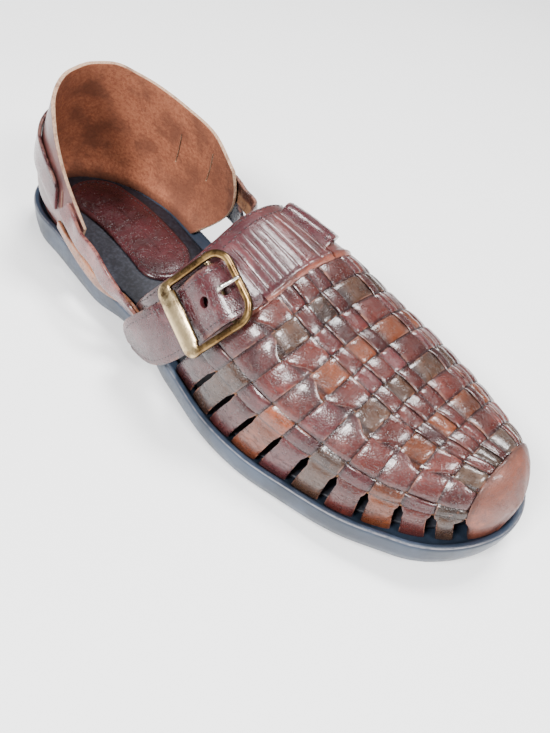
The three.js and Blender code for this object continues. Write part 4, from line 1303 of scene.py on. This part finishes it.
pad = bmesh.new()
patch(
    pad, range(len(pad_stations)), range(len(PAD_ROWS)), pad_place,
    marks=lambda station, row: (min(1.0, PAD_ROWS[row][0] / 6 + 0.05), 1.0, 0.5),
    tint=lambda station, row: (0.04, 0.008, 0.011),
    grain=lambda station, row: [at / 1000 for at in pad_edge(*pad_stations[station], PAD_ROWS[row][0])],
)
weld(pad)
pad_leather = leather("burgundy pad leather", gloss=0.3, edge_tone=(0.2, 0.07, 0.06), wear=0.4, coat=0.35)
piece("heel_pad_leather", pad, pad_leather, replaces=["heel_pad"], slot="pad")

pad_seam = bmesh.new()
ring = []
for share, side in pad_stations + [pad_stations[0]]:
    x, y = pad_edge(share, side, PAD_SEAM[0])
    spot = Vector((x, y, footbed(x) + PAD["over"] + PAD_SEAM[1]))
    if not ring or (spot - ring[-1][0]).length > 0.2:
        ring.append((spot, Vector((0, 0, 1))))
stitch_row(pad_seam, ring, half_length=0.9, radius=0.26, every=2.5)
piece("pad_stitches", pad_seam, thread_skin, slot="pad")

# Stage: a plain pale table, soft studio light from above, and the camera where the photograph was taken from.
floor_mesh = bmesh.new()
bmesh.ops.create_grid(floor_mesh, x_segments=1, y_segments=1, size=3.0)
floor_data = bpy.data.meshes.new("table")
floor_mesh.to_mesh(floor_data)
floor_mesh.free()
table = bpy.data.objects.new("table", floor_data)
bpy.context.collection.objects.link(table)
paper = Finish("pale table")
paper_grain = paper.noise(12, 2)
pale = paper.blend((0.95, 0.95, 0.95), (0.97, 0.97, 0.97), paper_grain)
floor_data.materials.append(paper.finish(pale, paper_grain * 0.1 + 0.6))


def soft_box(name, place, target, size, power):
    light = bpy.data.lights.new(name, "AREA")
    light.shape, light.size, light.size_y = "RECTANGLE", size[0], size[1]
    light.energy = power
    lamp = bpy.data.objects.new(name, light)
    lamp.location = place
    lamp.rotation_euler = (Vector(target) - Vector(place)).to_track_quat("-Z", "Y").to_euler()
    bpy.context.collection.objects.link(lamp)


soft_box("top_light", (0.0, 0.45, 1.1), (0.1, 0, 0.03), (0.45, 0.3), 22)
soft_box("window_light", (0.1, -0.95, 0.95), (0.12, 0, 0.03), (0.4, 0.25), 34)
soft_box("front_light", (0.9, -0.1, 0.9), (0.14, 0, 0.03), (0.3, 0.22), 15)
world = bpy.data.worlds.new("studio")
bpy.context.scene.world = world
world.use_nodes = True
sky = world.node_tree.nodes["Background"].inputs
sky["Color"].default_value = (0.95, 0.97, 1.0, 1)
sky["Strength"].default_value = 0.25

CAMERA = {"place": (0.2522, -0.1771, 0.2325), "lens": 33.62}
azimuth, elevation, roll = (math.radians(angle) for angle in (34.3, 46.2, -14.5))
reach = math.cos(elevation)
back = Vector((math.sin(azimuth) * reach, -math.cos(azimuth) * reach, math.sin(elevation)))
level = (-back).cross(Vector((0, 0, 1))).normalized()
down = (-back).cross(level)
right = level * math.cos(roll) + down * math.sin(roll)
lower = down * math.cos(roll) - level * math.sin(roll)
eye = bpy.data.objects.new("camera", bpy.data.cameras.new("camera"))
eye.data.lens = CAMERA["lens"]
eye.data.clip_start = 0.01
eye.matrix_world = Matrix.Translation(CAMERA["place"]) @ Matrix((right, -lower, back)).transposed().to_4x4()
bpy.context.collection.objects.link(eye)
bpy.context.scene.camera = eye
